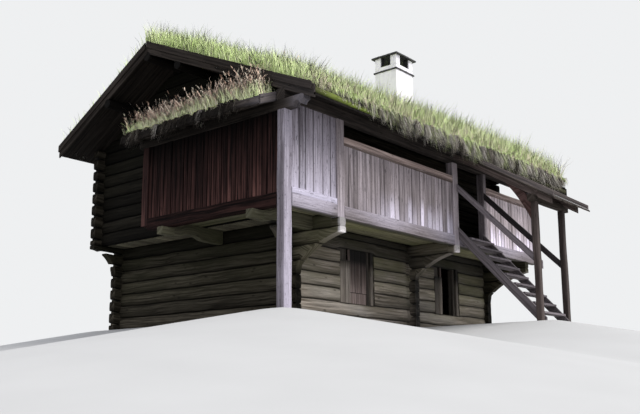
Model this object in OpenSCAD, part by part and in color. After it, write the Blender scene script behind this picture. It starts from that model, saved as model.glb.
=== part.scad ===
/* [Overall] */
// Length of the ground storey between the middles of its gable walls
body_l = 8250; // [6875:25:9900]
// Depth of the ground storey between the middles of its front and back walls
body_d = 5880; // [4900:20:7060]
// Height of the ground storey walls and underside of the floor above
storey_h = 2100; // [1800:10:2520]
// How far the upper storey stands out over the ground storey at each gable
jetty = 675; // [450:25:850]
// Depth of the front gallery from its face to the front wall
gallery_d = 1300; // [1100:20:1560]
// Width of the left gallery from its face to the upper gable wall
side_gallery_w = 980; // [800:20:1200]
// Length of the left gallery from the front corner to its rear post
side_gallery_l = 4330; // [3600:10:5200]

/* [Log walls] */
// Thickness of a log wall
log_t = 200; // [160:10:240]
// Height of one log course
log_h = 300; // [250:10:340]
// Radius of the bulging side of a log
bulge_r = 350; // [260:10:600]
// How far log ends run past the corner
log_end = 200; // [120:10:300]
// How far the ground storey's log ends run past its front wall
front_log_end = 110; // [60:10:200]
// Thickness left at the tip of a corner bracket
console_tip = 100; // [60:10:140]
// Height of the tip of a bracket that carries a gable post
gable_tip = 310; // [240:10:360]
// Height of the tip of the bracket that carries the post at the stair
cross_tip = 180; // [140:10:260]
// Height of a gable bracket from the sill beam down to its foot on the wall
gable_foot = 890; // [750:10:1000]
// Height of the stair's bracket from the sill beam down to its foot on the wall
cross_foot = 690; // [550:10:800]
// Place of the middle cross wall as a share of the length
cross_share = 0.551; // [0.53:0.003:0.572]

/* [Roof] */
// Rise of the front slope for each unit of depth
front_pitch = 0.443; // [0.38:0.005:0.52]
// Rise of the back slope for each unit of depth
back_pitch = 0.55; // [0.48:0.005:0.62]
// Height of the roof deck underside at the gallery face, over the walls of the ground storey
upper_h = 2212; // [2150:2:2500]
// Thickness of the board deck
deck_t = 50; // [30:5:80]
// Thickness of the turf
turf_t = 210; // [120:10:260]
// How far the front eave runs past the gallery face
front_eave = 760; // [500:10:900]
// How far the back eave runs past the back wall
back_eave = 380; // [250:10:600]
// How far the verge runs past the upper gable wall at the right
right_verge = 560; // [400:10:900]
// Width of a purlin
purlin_w = 220; // [160:10:260]
// Height of the barge boards
barge_h = 180; // [120:10:240]
// Thickness of the barge boards
barge_t = 40; // [25:5:60]
// Rise of the side roof for each unit of width
side_pitch = 0.4; // [0.3:0.02:0.46]
// How far the side roof runs past the gallery face
side_eave = 400; // [250:10:500]
// Where the side roof starts behind the front gallery face
side_front = 300; // [240:10:500]
// Height of the board across the front end of the left roof
side_edge_h = 195; // [120:5:220]
// Right end of that board, from the gallery's left face
side_edge_l = 320; // [200:10:330]
// Thickness of the side roof boards
side_deck = 40; // [25:5:60]
// Thickness of the side roof turf
side_turf = 180; // [100:10:220]
// Thickness of the log that holds the turf at an eave
turf_log = 120; // [80:10:160]

/* [Gallery] */
// Width of a gallery post along the front
post_w = 240; // [180:10:280]
// Depth of a gallery post
post_d = 200; // [160:10:240]
// How far the gallery sill beams hang below the floor
sill_drop = 120; // [60:10:160]
// Height of the gallery sill beams
sill_h = 260; // [200:10:320]
// Height of the parapet rail's top over the floor
rail_top = 1574; // [1100:10:1640]
// Height of the parapet rail
rail_h = 130; // [90:10:160]
// Width of the gallery post on the far side of the stair
far_post_w = 150; // [120:10:240]
// Distance of the gallery post beside the stair from the cross wall's middle
stair_post = 50; // [0:10:80]
// Thickness of the parapet rail
rail_t = 100; // [70:10:130]
// Height of the front wall plate
plate_h = 230; // [160:10:260]
// Thickness of upright boards
board_t = 32; // [20:2:45]
// Depth of the upright boards' faces behind the faces of the posts
board_in = 30; // [15:5:50]
// Thickness of the floor boards
floor_t = 60; // [40:5:80]
// Height of the left wall plate under the front one
side_plate_h = 200; // [140:10:240]

/* [Stair porch] */
// Distance between the porch posts, middle to middle
porch_w = 1500; // [1200:20:1800]
// Distance of the porch posts from the gallery face
porch_d = 2100; // [1900:10:2400]
// Width of a porch post
porch_post = 140; // [120:10:240]
// Rise of the porch roof for each unit of depth
porch_pitch = 0.6; // [0.5:0.01:0.66]
// Height of the porch roof over the main roof's deck at the gallery face
porch_up = 28; // [0:2:60]
// Number of rises in the stair, the last one up to the top tread
rise_n = 9; // [8:1:10]
// Going of one tread
tread_run = 225; // [190:5:230]
// Distance of the top tread's nose from the gallery face
tread_head = 330; // [260:10:360]
// Upright depth of a stringer
stringer_h = 300; // [260:10:360]
// Height of the top tread over the stringers' edge at its nose
nose_up = 70; // [0:5:90]
// Height of a handrail's top over the gallery floor at the gallery face
hand_top = 1400; // [1200:10:1450]
// Rise of a handrail for each unit of depth
hand_pitch = 1; // [0.9:0.01:1.1]
// Upright depth of a handrail
hand_h = 190; // [120:10:220]
// Distance of the porch posts' middles inside the sides of the stair
porch_in = 30; // [0:10:50]
// Overhang of the porch roof in front of its posts
porch_eave = 610; // [500:10:700]
// Height of the boards along the sides of the porch roof
porch_edge = 110; // [60:10:140]
// Height of the knee brace
brace_h = 640; // [500:10:680]
// Depth of a porch rafter
rafter_h = 160; // [120:10:200]
// Depth of the porch beam
beam_h = 150; // [110:10:180]
// Thickness of a stair stringer
stringer_t = 60; // [40:5:80]

/* [Doors] */
// Width of the left doorway
door_w = 700; // [560:10:800]
// Width of the right doorway
door2_w = 640; // [520:10:700]
// Height of the threshold over the ground
door_z = 440; // [360:10:450]
// Height of a doorway
door_h = 1260; // [1050:10:1300]
// Width of a right jamb plank
jamb_w = 260; // [200:10:280]
// Width of the narrow door post before a right jamb plank
door_post_w = 110; // [80:10:150]
// Width of a left jamb plank
jamb_l = 350; // [260:10:380]
// Height of a left jamb plank, over which the jamb stands back
jamb_h = 980; // [850:10:1000]
// Left edge of the left doorway, from the left gable wall
door1_x = 1915; // [1500:15:2200]
// Left edge of the right doorway, from the cross wall
door2_x = 1340; // [900:10:1500]
// Angle at which the right door stands open
door2_open = 80; // [60:1:85]
// Depth of a closed leaf's face behind the jambs' face
leaf_in = 60; // [50:5:100]
// Thickness of a door leaf
leaf_t = 50; // [35:5:70]
// Gap round a door leaf
leaf_gap = 8; // [6:1:12]
// Radius of a door's pivot pin
pivot_r = 20; // [14:1:28]
// Clearance round a pivot pin
pivot_gap = 0.1; // [0.05:0.05:0.1]

/* [Chimney] */
// Left side of the chimney, from the cross wall
chimney_x = 820; // [500:10:1100]
// Front of the chimney, from the front wall
chimney_y = 840; // [700:10:1000]
// Width of the chimney along the front
chimney_w = 850; // [700:10:1000]
// Depth of the chimney
chimney_d = 750; // [600:10:800]
// Height of the shaft up to the slate collar, over the ridge
shaft_up = 1195; // [900:5:1500]
// Thickness of the slates
slate_t = 40; // [25:5:60]
// Height of the piers and their rim between the slates
head_h = 400; // [300:10:450]

/* [Hidden] */
$fn = 48;
eps = 1;
// Walls, by their middle lines
gx1 = side_gallery_w + log_t / 2 + jetty;
gx2 = gx1 + body_l;
ux1 = gx1 - jetty;
ux2 = gx2 + jetty;
cx = gx1 + 5 * round(body_l * cross_share / 5);
fy = gallery_d + log_t / 2;
by = fy + body_d;
ht = log_t / 2;
wall_top = storey_h;
// How far the brackets run past the posts on them, and the radius of their undersides
bracket_nose = 30;
gable_arc_r = 1.9 * gallery_d;
cross_arc_r = 1.7 * gallery_d;
floor_top = storey_h + floor_t;
// Roof, by the underside of its deck
ridge_y = (fy + by) / 2;
deck_z = storey_h + upper_h;
ridge_z = deck_z + front_pitch * ridge_y;
verge_l = 0;
verge_r = ux2 + ht + right_verge;
eave_f = -front_eave;
eave_b = by + ht + back_eave;
roof_t = deck_t + turf_t;
// Gallery
plate_top = deck_z;
plate_z = plate_top - plate_h;
side_plate_z = plate_z - side_plate_h;
plate_nose = (plate_h - 10) / front_pitch;
sill_z = storey_h - sill_drop;
sill_top = sill_z + sill_h;
rail_z = floor_top + rail_top - rail_h;
stair_l = cx;
stair_r = stair_l + porch_w;
porch_x = [stair_l + porch_in, stair_r - porch_in];
// Left and right sides of the gallery posts
far_r = stair_r + post_w / 2;
post_l = [gx1 - post_w / 2, stair_l + stair_post - post_w / 2, far_r - far_post_w, ux2 - post_w / 2];
post_r = [gx1 + post_w / 2, stair_l + stair_post + post_w / 2, far_r, ux2 + post_w / 2];
// Side roof
side_back = side_gallery_l + 230;
// Doors
d1 = gx1 + door1_x;
d2 = cx + door2_x;
doorways = [[d1, door_w], [d2, door2_w]];
// The round edge that a door turns on, and its axis
stile_r = leaf_t / 2 + 7;
pivot_in = leaf_gap + stile_r;
jamb_face = fy - ht - 15;
pivot_y = jamb_face + leaf_in + leaf_t / 2;
pivot_l = 40;
jamb_gap = 0.5 * (jamb_w - door_post_w);
socket_d = pivot_l + 5;
chx = cx + chimney_x;
chy = fy + chimney_y;
shaft_h = ridge_z + shaft_up;
// The box of the whole building, so that its bottom centre is the origin
low_x = -side_eave;
low_y = -porch_d - porch_eave;
high_y = eave_b;
mid_x = (low_x + verge_r) / 2;
mid_y = (low_y + high_y) / 2;

function front_z(y) = deck_z + front_pitch * y;
function back_z(y) = ridge_z - back_pitch * (y - ridge_y);
function porch_z(y) = deck_z + porch_up + porch_pitch * y;

module placed() {
    translate([-mid_x, -mid_y, 0])
        children();
}

module block(x0, x1, y0, y1, z0, z1) {
    translate([x0, y0, z0])
        cube([x1 - x0, y1 - y0, z1 - z0]);
}

// An outline in depth and height, drawn out along the front
module along_x(x0, x1) {
    translate([x0, 0, 0])
        rotate([90, 0, 90])
            linear_extrude(x1 - x0)
                children();
}

// An outline in length and height, drawn out from front to back
module along_y(y0, y1) {
    translate([0, y1, 0])
        rotate([90, 0, 0])
            linear_extrude(y1 - y0)
                children();
}

// One log in section, standing on the origin
module log_section() {
    intersection() {
        translate([ht - bulge_r, log_h / 2])
            circle(bulge_r, $fn = 96);
        translate([bulge_r - ht, log_h / 2])
            circle(bulge_r, $fn = 96);
        translate([-ht, 0])
            square([log_t, log_h]);
    }
}

module log_stack(z0, z1, shift) {
    first = floor((z0 - shift) / log_h);
    last = ceil((z1 - shift) / log_h) - 1;
    for (k = [first:last])
        translate([0, shift + k * log_h])
            log_section();
}

// Logs of a gable or cross wall, which run from front to back
module gable_logs(x, y0, y1, z0, z1) {
    translate([x, 0, 0])
        along_y(y0, y1)
            log_stack(z0, z1, 0);
}

// Logs of a front or back wall, half a course lower
module long_logs(y, x0, x1, z0, z1) {
    translate([0, y, 0])
        along_x(x0, x1)
            log_stack(z0, z1, -log_h / 2);
}

// Notches in a gable wall at a corner: every other half course belongs to the long wall
module gable_notches(x, y, z0, z1) {
    for (z = [floor(z0 / log_h) * log_h:log_h:z1 + log_h])
        block(x - ht - eps, x + ht + eps, y - ht, y + ht, z - log_h / 4, z + log_h / 4);
}

module long_notches(x, y, z0, z1) {
    for (z = [(floor(z0 / log_h) - 0.5) * log_h:log_h:z1 + log_h])
        block(x - ht, x + ht, y - ht - eps, y + ht + eps, z - log_h / 4, z + log_h / 4);
}

// The space under an arc that runs down from the tip of a bracket to its foot
module under_arc(y0, z0, y1, z1, r) {
    chord = norm([y1 - y0, z0 - z1]);
    drop = sqrt(r ^ 2 - (chord / 2) ^ 2) / chord;
    intersection() {
        translate([(y0 + y1) / 2 - drop * (z0 - z1), (z0 + z1) / 2 - drop * (y1 - y0)])
            circle(r, $fn = 180);
        translate([y0 - eps, 0])
            square([y1 - y0 + eps, z0]);
    }
}

// Outline of a ground gable wall seen from its side, with the curved bracket under the gallery
module bracket_outline(y1, tip, foot, arc_r) {
    reach = fy - ht - front_log_end;
    tip_z = sill_z - tip;
    difference() {
        translate([-bracket_nose, 0])
            square([y1 + bracket_nose, wall_top]);
        translate([-bracket_nose - eps, 0])
            square([bracket_nose + eps, tip_z]);
        under_arc(0, tip_z, reach, sill_z - foot, arc_r);
        translate([-bracket_nose - eps, -eps])
            square([reach + bracket_nose + eps, sill_z - foot + eps]);
        translate([-bracket_nose - eps, sill_z])
            square([post_d + bracket_nose + eps, storey_h]);
    }
}

module ground_gable(x, tip, foot, arc_r) {
    y1 = by + ht + log_end;
    difference() {
        intersection() {
            gable_logs(x, -bracket_nose, y1, 0, wall_top);
            along_x(x - ht - eps, x + ht + eps)
                bracket_outline(y1, tip, foot, arc_r);
        }
        gable_notches(x, fy, 0, wall_top);
        gable_notches(x, by, 0, wall_top);
        children();
    }
}

module ground_left_gable() {
    color([0.36, 0.33, 0.25])
        placed()
            ground_gable(gx1, gable_tip, gable_foot, gable_arc_r) {
                joist_pockets();
            }
}

module ground_cross_wall() {
    color([0.38, 0.34, 0.27])
        placed()
            ground_gable(cx, cross_tip, cross_foot, cross_arc_r);
}

module ground_right_gable() {
    color([0.36, 0.33, 0.25])
        placed()
            ground_gable(gx2, gable_tip, gable_foot, gable_arc_r);
}

// The hollow under the top logs of a front or back wall, which run out to the upper gable
module console_cut(side) {
    tip = side < 0 ? ux1 - ht - log_end : ux2 + ht + log_end;
    low = side < 0 ? tip - eps : tip - jetty;
    z = wall_top - console_tip - jetty;
    translate([low, -eps])
        square([jetty + eps, z + eps]);
    translate([tip, z])
        circle(jetty, $fn = 96);
}

module ground_long_wall(y, x0, x1) {
    difference() {
        intersection() {
            long_logs(y, x0, x1, 0, wall_top);
            along_y(y - ht - eps, y + ht + eps)
                difference() {
                    translate([x0, 0])
                        square([x1 - x0, wall_top]);
                    console_cut(-1);
                    console_cut(1);
                }
        }
        for (x = [gx1, cx, gx2])
            long_notches(x, y, 0, wall_top);
    }
}

module ground_back_wall() {
    color([0.3, 0.27, 0.22])
        placed()
            ground_long_wall(by, ux1 - ht - log_end, ux2 + ht + log_end);
}

// The front wall in three lengths, beside and between its doorways
module ground_front_wall() {
    color([0.5, 0.46, 0.36])
        placed() {
            ground_long_wall(fy, ux1 - ht - log_end, d1 - jamb_l);
            ground_long_wall(fy, d1 + door_w + jamb_w, d2 - jamb_l);
            ground_long_wall(fy, d2 + door2_w + jamb_w, ux2 + ht + log_end);
        }
}

module pivot_hole(x, z0, z1) {
    translate([x + pivot_in, pivot_y, z0])
        cylinder(r = pivot_r + pivot_gap, h = z1 - z0);
}

// A stretch of front wall over or under one doorway, with the socket of the door's pivot
module doorway_stretch(x, w, z0, z1, socket_z) {
    difference() {
        intersection() {
            long_logs(fy, x - jamb_l, x + w + jamb_w, z0, z1);
            block(x - jamb_l, x + w + jamb_w, fy - log_t, fy + log_t, z0, z1);
        }
        pivot_hole(x, socket_z, socket_z + socket_d);
    }
}

module doorway_logs() {
    head = door_z + door_h;
    color([0.42, 0.38, 0.31])
        placed()
            for (d = doorways) {
                doorway_stretch(d[0], d[1], 0, door_z, door_z - socket_d);
                doorway_stretch(d[0], d[1], head, wall_top, head);
            }
}

module door_jambs() {
    head = door_z + door_h;
    back_face = pivot_y - leaf_t / 2;
    color([0.42, 0.36, 0.28])
        placed()
            for (d = doorways) {
                block(d[0] - jamb_l, d[0], jamb_face, fy + ht, door_z, door_z + jamb_h);
                block(d[0] - jamb_l, d[0], fy, fy + ht, door_z + jamb_h, head);
                translate([d[0] + d[1], 0, 0]) {
                    block(0, jamb_w, back_face, fy + ht, door_z, head);
                    block(jamb_gap, jamb_gap + door_post_w, jamb_face, fy + ht, door_z, head);
                }
            }
}

// A door leaf on its pivot, hung at the origin and closed
module leaf(w) {
    z0 = door_z + leaf_gap;
    h = door_h - 2 * leaf_gap;
    translate([0, 0, z0])
        cylinder(r = stile_r, h = h);
    translate([0, -leaf_t / 2, z0])
        cube([w - pivot_in - leaf_gap, leaf_t, h]);
    translate([0, 0, door_z - pivot_l])
        cylinder(r = pivot_r, h = door_h + 2 * pivot_l);
}

module left_door() {
    color([0.33, 0.27, 0.22])
        placed()
            translate([d1 + pivot_in, pivot_y, 0])
                leaf(door_w);
}

module right_door() {
    color([0.33, 0.27, 0.22])
        placed()
            translate([d2 + pivot_in, pivot_y, 0])
                rotate([0, 0, door2_open])
                    leaf(door2_w);
}

module ground_floor() {
    color([0.45, 0.4, 0.32])
        placed()
            difference() {
                union() {
                    block(gx1 + ht, cx - ht, fy + ht, by - ht, door_z - floor_t, door_z);
                    block(cx + ht, gx2 - ht, fy + ht, by - ht, door_z - floor_t, door_z);
                }
                chimney_space();
            }
}

module floor_sleepers() {
    color([0.4, 0.36, 0.3])
        placed()
            for (r = [[gx1 + ht, cx - ht], [cx + ht, gx2 - ht]])
                for (k = [0, 0.58, 1])
                    translate([0, fy + ht + k * (body_d - 2 * log_t), 0])
                        block(r[0], r[1], 0, log_t, 0, door_z - floor_t);
}

module gable_outline(y0, y1) {
    polygon([
        [y0, storey_h], [y1, storey_h], [y1, back_z(y1)], [ridge_y, ridge_z], [y0, front_z(y0)]]);
}

module upper_gable(x) {
    y0 = fy - ht - log_end;
    y1 = by + ht + log_end;
    difference() {
        intersection() {
            gable_logs(x, y0, y1, storey_h, ridge_z);
            along_x(x - ht - eps, x + ht + eps)
                gable_outline(y0, y1);
        }
        gable_notches(x, fy, storey_h, front_z(fy + ht));
        gable_notches(x, by, storey_h, back_z(by - ht));
        purlin_shapes();
    }
}

module upper_gables() {
    color([0.28, 0.24, 0.19])
        placed() {
            upper_gable(ux1);
            upper_gable(ux2);
        }
}

module upper_back_wall() {
    top = back_z(by + ht);
    color([0.3, 0.27, 0.22])
        placed()
            difference() {
                intersection() {
                    long_logs(by, ux1 - ht - log_end, ux2 + ht + log_end, storey_h, top);
                    block(ux1 - log_t - log_end, ux2 + log_t + log_end, by - log_t, by + log_t, storey_h, top);
                }
                for (x = [ux1, ux2])
                    long_notches(x, by, storey_h, top);
            }
}

module upper_front_wall() {
    top = front_z(fy - ht);
    color([0.3, 0.27, 0.22])
        placed()
            difference() {
                intersection() {
                    long_logs(fy, ux1 - ht - log_end, ux2 + ht + log_end, storey_h, top);
                    block(ux1 - log_t - log_end, ux2 + log_t + log_end, fy - log_t, fy + log_t, storey_h, top);
                }
                for (x = [ux1, ux2])
                    long_notches(x, fy, storey_h, top);
                for (d = doorways)
                    block(d[0], d[0] + d[1], fy - log_t, fy + log_t, floor_top + 150, floor_top + 1650);
            }
}

module upper_doors() {
    color([0.3, 0.25, 0.2])
        placed()
            for (d = doorways)
                block(d[0], d[0] + d[1], fy, fy + leaf_t, floor_top + 150, floor_top + 1650);
}

module chimney_space() {
    block(chx, chx + chimney_w, chy, chy + chimney_d, -eps, shaft_h);
}

module upper_floor() {
    color([0.45, 0.4, 0.32])
        placed()
            difference() {
                block(ux1 + ht, ux2 - ht, fy + ht, by - ht, storey_h, floor_top);
                chimney_space();
            }
}

// Room for the crossing log ends of the upper storey at a front corner
module log_end_space(x0, x1) {
    gap = 5;
    block(x0 - gap, x1 + gap, fy - ht - log_end - gap, fy + ht + gap, storey_h - eps, floor_top + eps);
}

module gallery_floor() {
    color([0.42, 0.4, 0.33])
        placed()
            difference() {
                union() {
                    block(post_w, ux2 + ht, post_d, fy - ht, storey_h, floor_top);
                    block(post_d, ux1 - ht, fy - ht, side_gallery_l - post_d, storey_h, floor_top);
                }
                log_end_space(ux1 - ht - log_end, ux1 + ht);
                log_end_space(ux2 - ht, ux2 + ht + log_end);
            }
}

joist_y = [fy - 600, side_gallery_l - 820];

module joist_pockets() {
    for (y = joist_y)
        block(gx1 - log_t, gx1 + log_t, y - ht, y + ht, storey_h - log_h, storey_h + eps);
}

// Joists of the left gallery, notched under its sill beam
module gallery_joists() {
    color([0.42, 0.4, 0.3])
        placed()
            for (y = joist_y)
                difference() {
                    block(-120, gx1 + ht, y - ht, y + ht, storey_h - log_h, storey_h);
                    block(-200, post_d, y - log_t, y + log_t, sill_z, storey_h + eps);
                    translate([700, y + log_t, storey_h - log_h - 600])
                        rotate([90, 0, 0])
                            cylinder(r = 680, h = 2 * log_t, $fn = 96);
                }
}

module corner_post() {
    color([0.62, 0.58, 0.6])
        placed()
            block(0, post_w, 0, post_d, 0, side_plate_z);
}

// The front posts, the first two of them standing on the brackets, and the rear post of the left gallery
module gallery_posts() {
    color([0.5, 0.47, 0.45])
        placed() {
            for (k = [0:3])
                block(post_l[k], post_r[k], 0, post_d, k < 2 ? sill_z : sill_top, plate_z);
            block(0, post_d, side_gallery_l - post_d, side_gallery_l, sill_z + 100, side_plate_z);
        }
}

module sill_beams() {
    color([0.5, 0.46, 0.46])
        placed() {
            block(post_w, post_l[0], 0, post_d, sill_z, sill_top);
            block(post_r[0], post_l[1], 0, post_d, sill_z, sill_top);
            block(post_r[1], post_r[3], 0, post_d, sill_z, sill_top);
            block(0, post_d, post_d, side_gallery_l - post_d, sill_z, sill_top);
        }
}

// Upright boards: front corner, left side, and the two ends of the gallery
module gallery_boards() {
    y = side_gallery_l - 100;
    color([0.45, 0.35, 0.35])
        placed() {
            block(post_w, gx1 - post_w / 2, board_in, board_in + board_t, sill_top, plate_z);
            block(board_in, board_in + board_t, post_d, side_gallery_l - post_d, sill_top, side_plate_z);
            block(post_d, ux1 - ht, y - board_t, y, floor_top, side_plate_z);
            block(ux2 + ht - board_t, ux2 + ht, post_d, fy - ht - log_end, floor_top, rail_z);
        }
}

module parapets() {
    color([0.5, 0.44, 0.4])
        placed()
            for (k = [0, 2])
                block(post_r[k], post_l[k + 1], board_in, board_in + board_t, sill_top, rail_z);
}

module parapet_rails() {
    color([0.45, 0.38, 0.34])
        placed() {
            for (k = [0, 2])
                block(post_r[k], post_l[k + 1], 10, 10 + rail_t, rail_z, rail_z + rail_h);
            block(ux2 + ht - rail_t, ux2 + ht, post_d, fy - ht - log_end, rail_z, rail_z + rail_h);
        }
}

module front_plate() {
    color([0.35, 0.31, 0.27])
        placed()
            difference() {
                block(verge_l, verge_r, 0, post_d, plate_z, plate_top + 200);
                above_front_deck();
            }
}

// Everything over the underside of the front slope
module above_front_deck() {
    along_x(-2000, verge_r + 2000)
        polygon([
            [-4000, front_z(-4000)], [ridge_y, ridge_z], [ridge_y, ridge_z + 3000], [-4000, ridge_z + 3000]]);
}

module above_back_deck() {
    along_x(-2000, verge_r + 2000)
        polygon([
            [ridge_y, ridge_z], [eave_b + 2000, back_z(eave_b + 2000)], [eave_b + 2000, ridge_z + 3000],
            [ridge_y, ridge_z + 3000]]);
}

module side_plate() {
    color([0.4, 0.38, 0.42])
        placed()
            difference() {
                block(0, post_d, -plate_nose, side_gallery_l + 150, side_plate_z, plate_z);
                for (y = [-plate_nose, 190 - plate_nose])
                    translate([-eps, y, side_plate_z])
                        rotate([0, 90, 0])
                            cylinder(r = 90, h = post_d + 2 * eps);
            }
}

// Middles of the purlins, so that the deck cuts a narrow flat into each
purlin_seat = 12;
purlin_r = purlin_w / 2;
front_purlin_y = chy + chimney_d + purlin_r + 150;
back_purlin_y = (ridge_y + by) / 2;
purlin_places = [
    [front_purlin_y, front_z(front_purlin_y) - purlin_r * sqrt(1 + front_pitch ^ 2) + purlin_seat],
    [ridge_y, ridge_z - purlin_r * sqrt(1 + front_pitch ^ 2) + purlin_seat],
    [back_purlin_y, back_z(back_purlin_y) - purlin_r * sqrt(1 + back_pitch ^ 2) + purlin_seat]];

module purlin_shapes() {
    for (p = purlin_places)
        translate([0, p[0], p[1]])
            along_x(verge_l, verge_r)
                circle(purlin_r);
}

module purlins() {
    color([0.24, 0.2, 0.17])
        placed()
            difference() {
                purlin_shapes();
                above_front_deck();
                above_back_deck();
            }
}

// A slab that follows one slope, from low to high over the deck underside
module front_slab(x0, x1, y0, y1, low, high) {
    along_x(x0, x1)
        polygon([
            [y0, front_z(y0) + low], [y1, front_z(y1) + low], [y1, front_z(y1) + high], [y0, front_z(y0) + high]]);
}

module back_slab(x0, x1, y0, y1, low, high) {
    along_x(x0, x1)
        polygon([
            [y0, back_z(y0) + low], [y1, back_z(y1) + low], [y1, back_z(y1) + high], [y0, back_z(y0) + high]]);
}

module deck_front() {
    color([0.3, 0.25, 0.2])
        placed()
            difference() {
                front_slab(verge_l, verge_r, eave_f, ridge_y, 0, deck_t);
                chimney_space();
            }
}

module deck_back() {
    color([0.3, 0.25, 0.2])
        placed()
            back_slab(verge_l, verge_r, ridge_y, eave_b, 0, deck_t);
}

module turf_front() {
    color([0.45, 0.52, 0.24])
        placed()
            difference() {
                front_slab(verge_l + barge_t, verge_r - barge_t, eave_f + turf_log, ridge_y, deck_t, roof_t);
                chimney_space();
            }
}

module turf_back() {
    color([0.45, 0.52, 0.24])
        placed()
            back_slab(verge_l + barge_t, verge_r - barge_t, ridge_y, eave_b - turf_log, deck_t, roof_t);
}

module turf_logs() {
    color([0.35, 0.3, 0.22])
        placed() {
            front_slab(verge_l + barge_t, verge_r - barge_t, eave_f, eave_f + turf_log, deck_t, deck_t + turf_log);
            back_slab(verge_l + barge_t, verge_r - barge_t, eave_b - turf_log, eave_b, deck_t, deck_t + turf_log);
        }
}

module barge_boards() {
    color([0.28, 0.24, 0.22])
        placed()
            for (x = [verge_l, verge_r - barge_t]) {
                front_slab(x, x + barge_t, eave_f, ridge_y, deck_t, barge_h);
                back_slab(x, x + barge_t, ridge_y, eave_b, deck_t, barge_h);
            }
}

module side_slab(low, high, x1, y0, y1) {
    z0 = plate_z - side_pitch * side_eave;
    z1 = plate_z + side_pitch * x1;
    along_y(y0, y1)
        polygon([
            [-side_eave, z0 + low], [x1, z1 + low], [x1, z1 + high], [-side_eave, z0 + high]]);
}

// Room for the log ends of the upper storey and for the front slope beside the side roof
module side_roof_space() {
    gap = 5;
    block(ux1 - ht - log_end - gap, ux1, fy - ht - gap, fy + ht + gap, storey_h, ridge_z);
    block(ux1 - ht - gap, ux1, fy - ht - log_end - gap, by, storey_h, ridge_z);
    translate([0, 0, -gap])
        above_front_deck();
}

module side_roof_deck() {
    color([0.3, 0.24, 0.2])
        placed() {
            difference() {
                side_slab(0, side_deck, ux1 - ht, side_front, side_back);
                side_roof_space();
            }
            side_slab(0, side_edge_h, side_edge_l, side_front - 40, side_front);
        }
}

module side_roof_turf() {
    color([0.5, 0.5, 0.28])
        placed()
            difference() {
                side_slab(side_deck, side_deck + side_turf, ux1 - ht, side_front, side_back);
                side_roof_space();
            }
}

module porch_posts() {
    color([0.42, 0.35, 0.33])
        placed()
            for (x = porch_x)
                block(x - porch_post / 2, x + porch_post / 2, -porch_d - porch_post / 2,
                    -porch_d + porch_post / 2, 0, porch_seat - beam_h);
}

porch_seat = porch_z(-porch_d) - rafter_h;

module porch_beam_shape() {
    block(stair_l - 200, stair_r + 250, -porch_d - porch_post / 2, -porch_d + porch_post / 2,
        porch_seat - beam_h, porch_seat);
}

module porch_beam() {
    color([0.36, 0.3, 0.27])
        placed()
            porch_beam_shape();
}

module porch_slab(x0, x1, y0, y1, low, high) {
    along_x(x0, x1)
        polygon([
            [y0, porch_z(y0) + low], [y1, porch_z(y1) + low], [y1, porch_z(y1) + high], [y0, porch_z(y0) + high]]);
}

module porch_rafters() {
    color([0.45, 0.37, 0.34])
        placed()
            difference() {
                for (x = porch_x)
                    porch_slab(x - 60, x + 60, -porch_d - 420, 0, -rafter_h, 0);
                translate([0, 0, -5])
                    above_front_deck();
                porch_beam_shape();
            }
}

module porch_roof() {
    x0 = stair_l - 130;
    x1 = stair_r + 350;
    plank = 45;
    edge_w = 40;
    color([0.38, 0.32, 0.3])
        placed() {
            porch_slab(x0, x1, low_y, -620, 0, plank);
            for (x = [x0, x1 - edge_w])
                porch_slab(x, x + edge_w, low_y + 60, eave_f - 30, plank - eps, plank + porch_edge);
        }
}

// Underside of the porch rafters
function rafter_z(y) = porch_z(y) - rafter_h;

module knee_brace() {
    y0 = -porch_d + porch_post / 2;
    y1 = y0 + brace_h;
    low = rafter_z(y0) - brace_h;
    foot = 470;
    tip = 30;
    bow = 40;
    chord = norm([y1 - y0, rafter_z(y1) - low]) - 2 * tip;
    r = chord ^ 2 / (8 * bow) + bow / 2;
    turn = atan2(rafter_z(y1) - low, y1 - y0);
    color([0.4, 0.22, 0.18])
        placed()
            along_x(porch_x[0] - stringer_t / 2, porch_x[0] + stringer_t / 2)
                difference() {
                    polygon([
                        [y0, low], [y0, low + foot], [y1 - foot, rafter_z(y1 - foot)], [y1, rafter_z(y1)]]);
                    translate([(y0 + y1) / 2, (low + rafter_z(y1)) / 2])
                        rotate([0, 0, turn])
                            translate([0, bow - r])
                                circle(r, $fn = 720);
                }
}

rise = floor_top / rise_n;
stair_pitch = rise / tread_run;

// Top edge of a stringer, just under the noses of the treads
function stringer_z(y) = floor_top - nose_up + stair_pitch * (y + tread_head);

module stair_stringers() {
    top = stringer_z(0);
    color([0.45, 0.41, 0.42])
        placed()
            for (x = [stair_l + post_w / 2, stair_r - post_w / 2 - stringer_t])
                along_x(x, x + stringer_t)
                    polygon([
                        [0, top], [-top / stair_pitch, 0], [-(top - stringer_h) / stair_pitch, 0], [0, top - stringer_h]]);
}

module stair_treads() {
    x0 = stair_l + post_w / 2 + stringer_t;
    x1 = stair_r - post_w / 2 - stringer_t;
    color([0.48, 0.45, 0.4])
        placed()
            for (k = [0:rise_n - 1]) {
                nose = -tread_head - tread_run * k;
                block(x0, x1, nose, nose + 250, floor_top - rise * k - 50, floor_top - rise * k);
            }
}

function hand_z(y) = floor_top + hand_top + hand_pitch * y;

// The left rail runs inside the porch post, the right one between its posts
module handrail(x, y0) {
    along_x(x, x + stringer_t)
        polygon([[0, hand_z(0) - hand_h], [0, hand_z(0)], [y0, hand_z(y0)], [y0, hand_z(y0) - hand_h]]);
}

module handrails() {
    color([0.42, 0.38, 0.4])
        placed() {
            handrail(porch_x[0] + porch_post / 2, -porch_d - porch_post / 2);
            handrail(stair_r - stringer_t / 2, -porch_d + porch_post / 2);
        }
}

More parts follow.
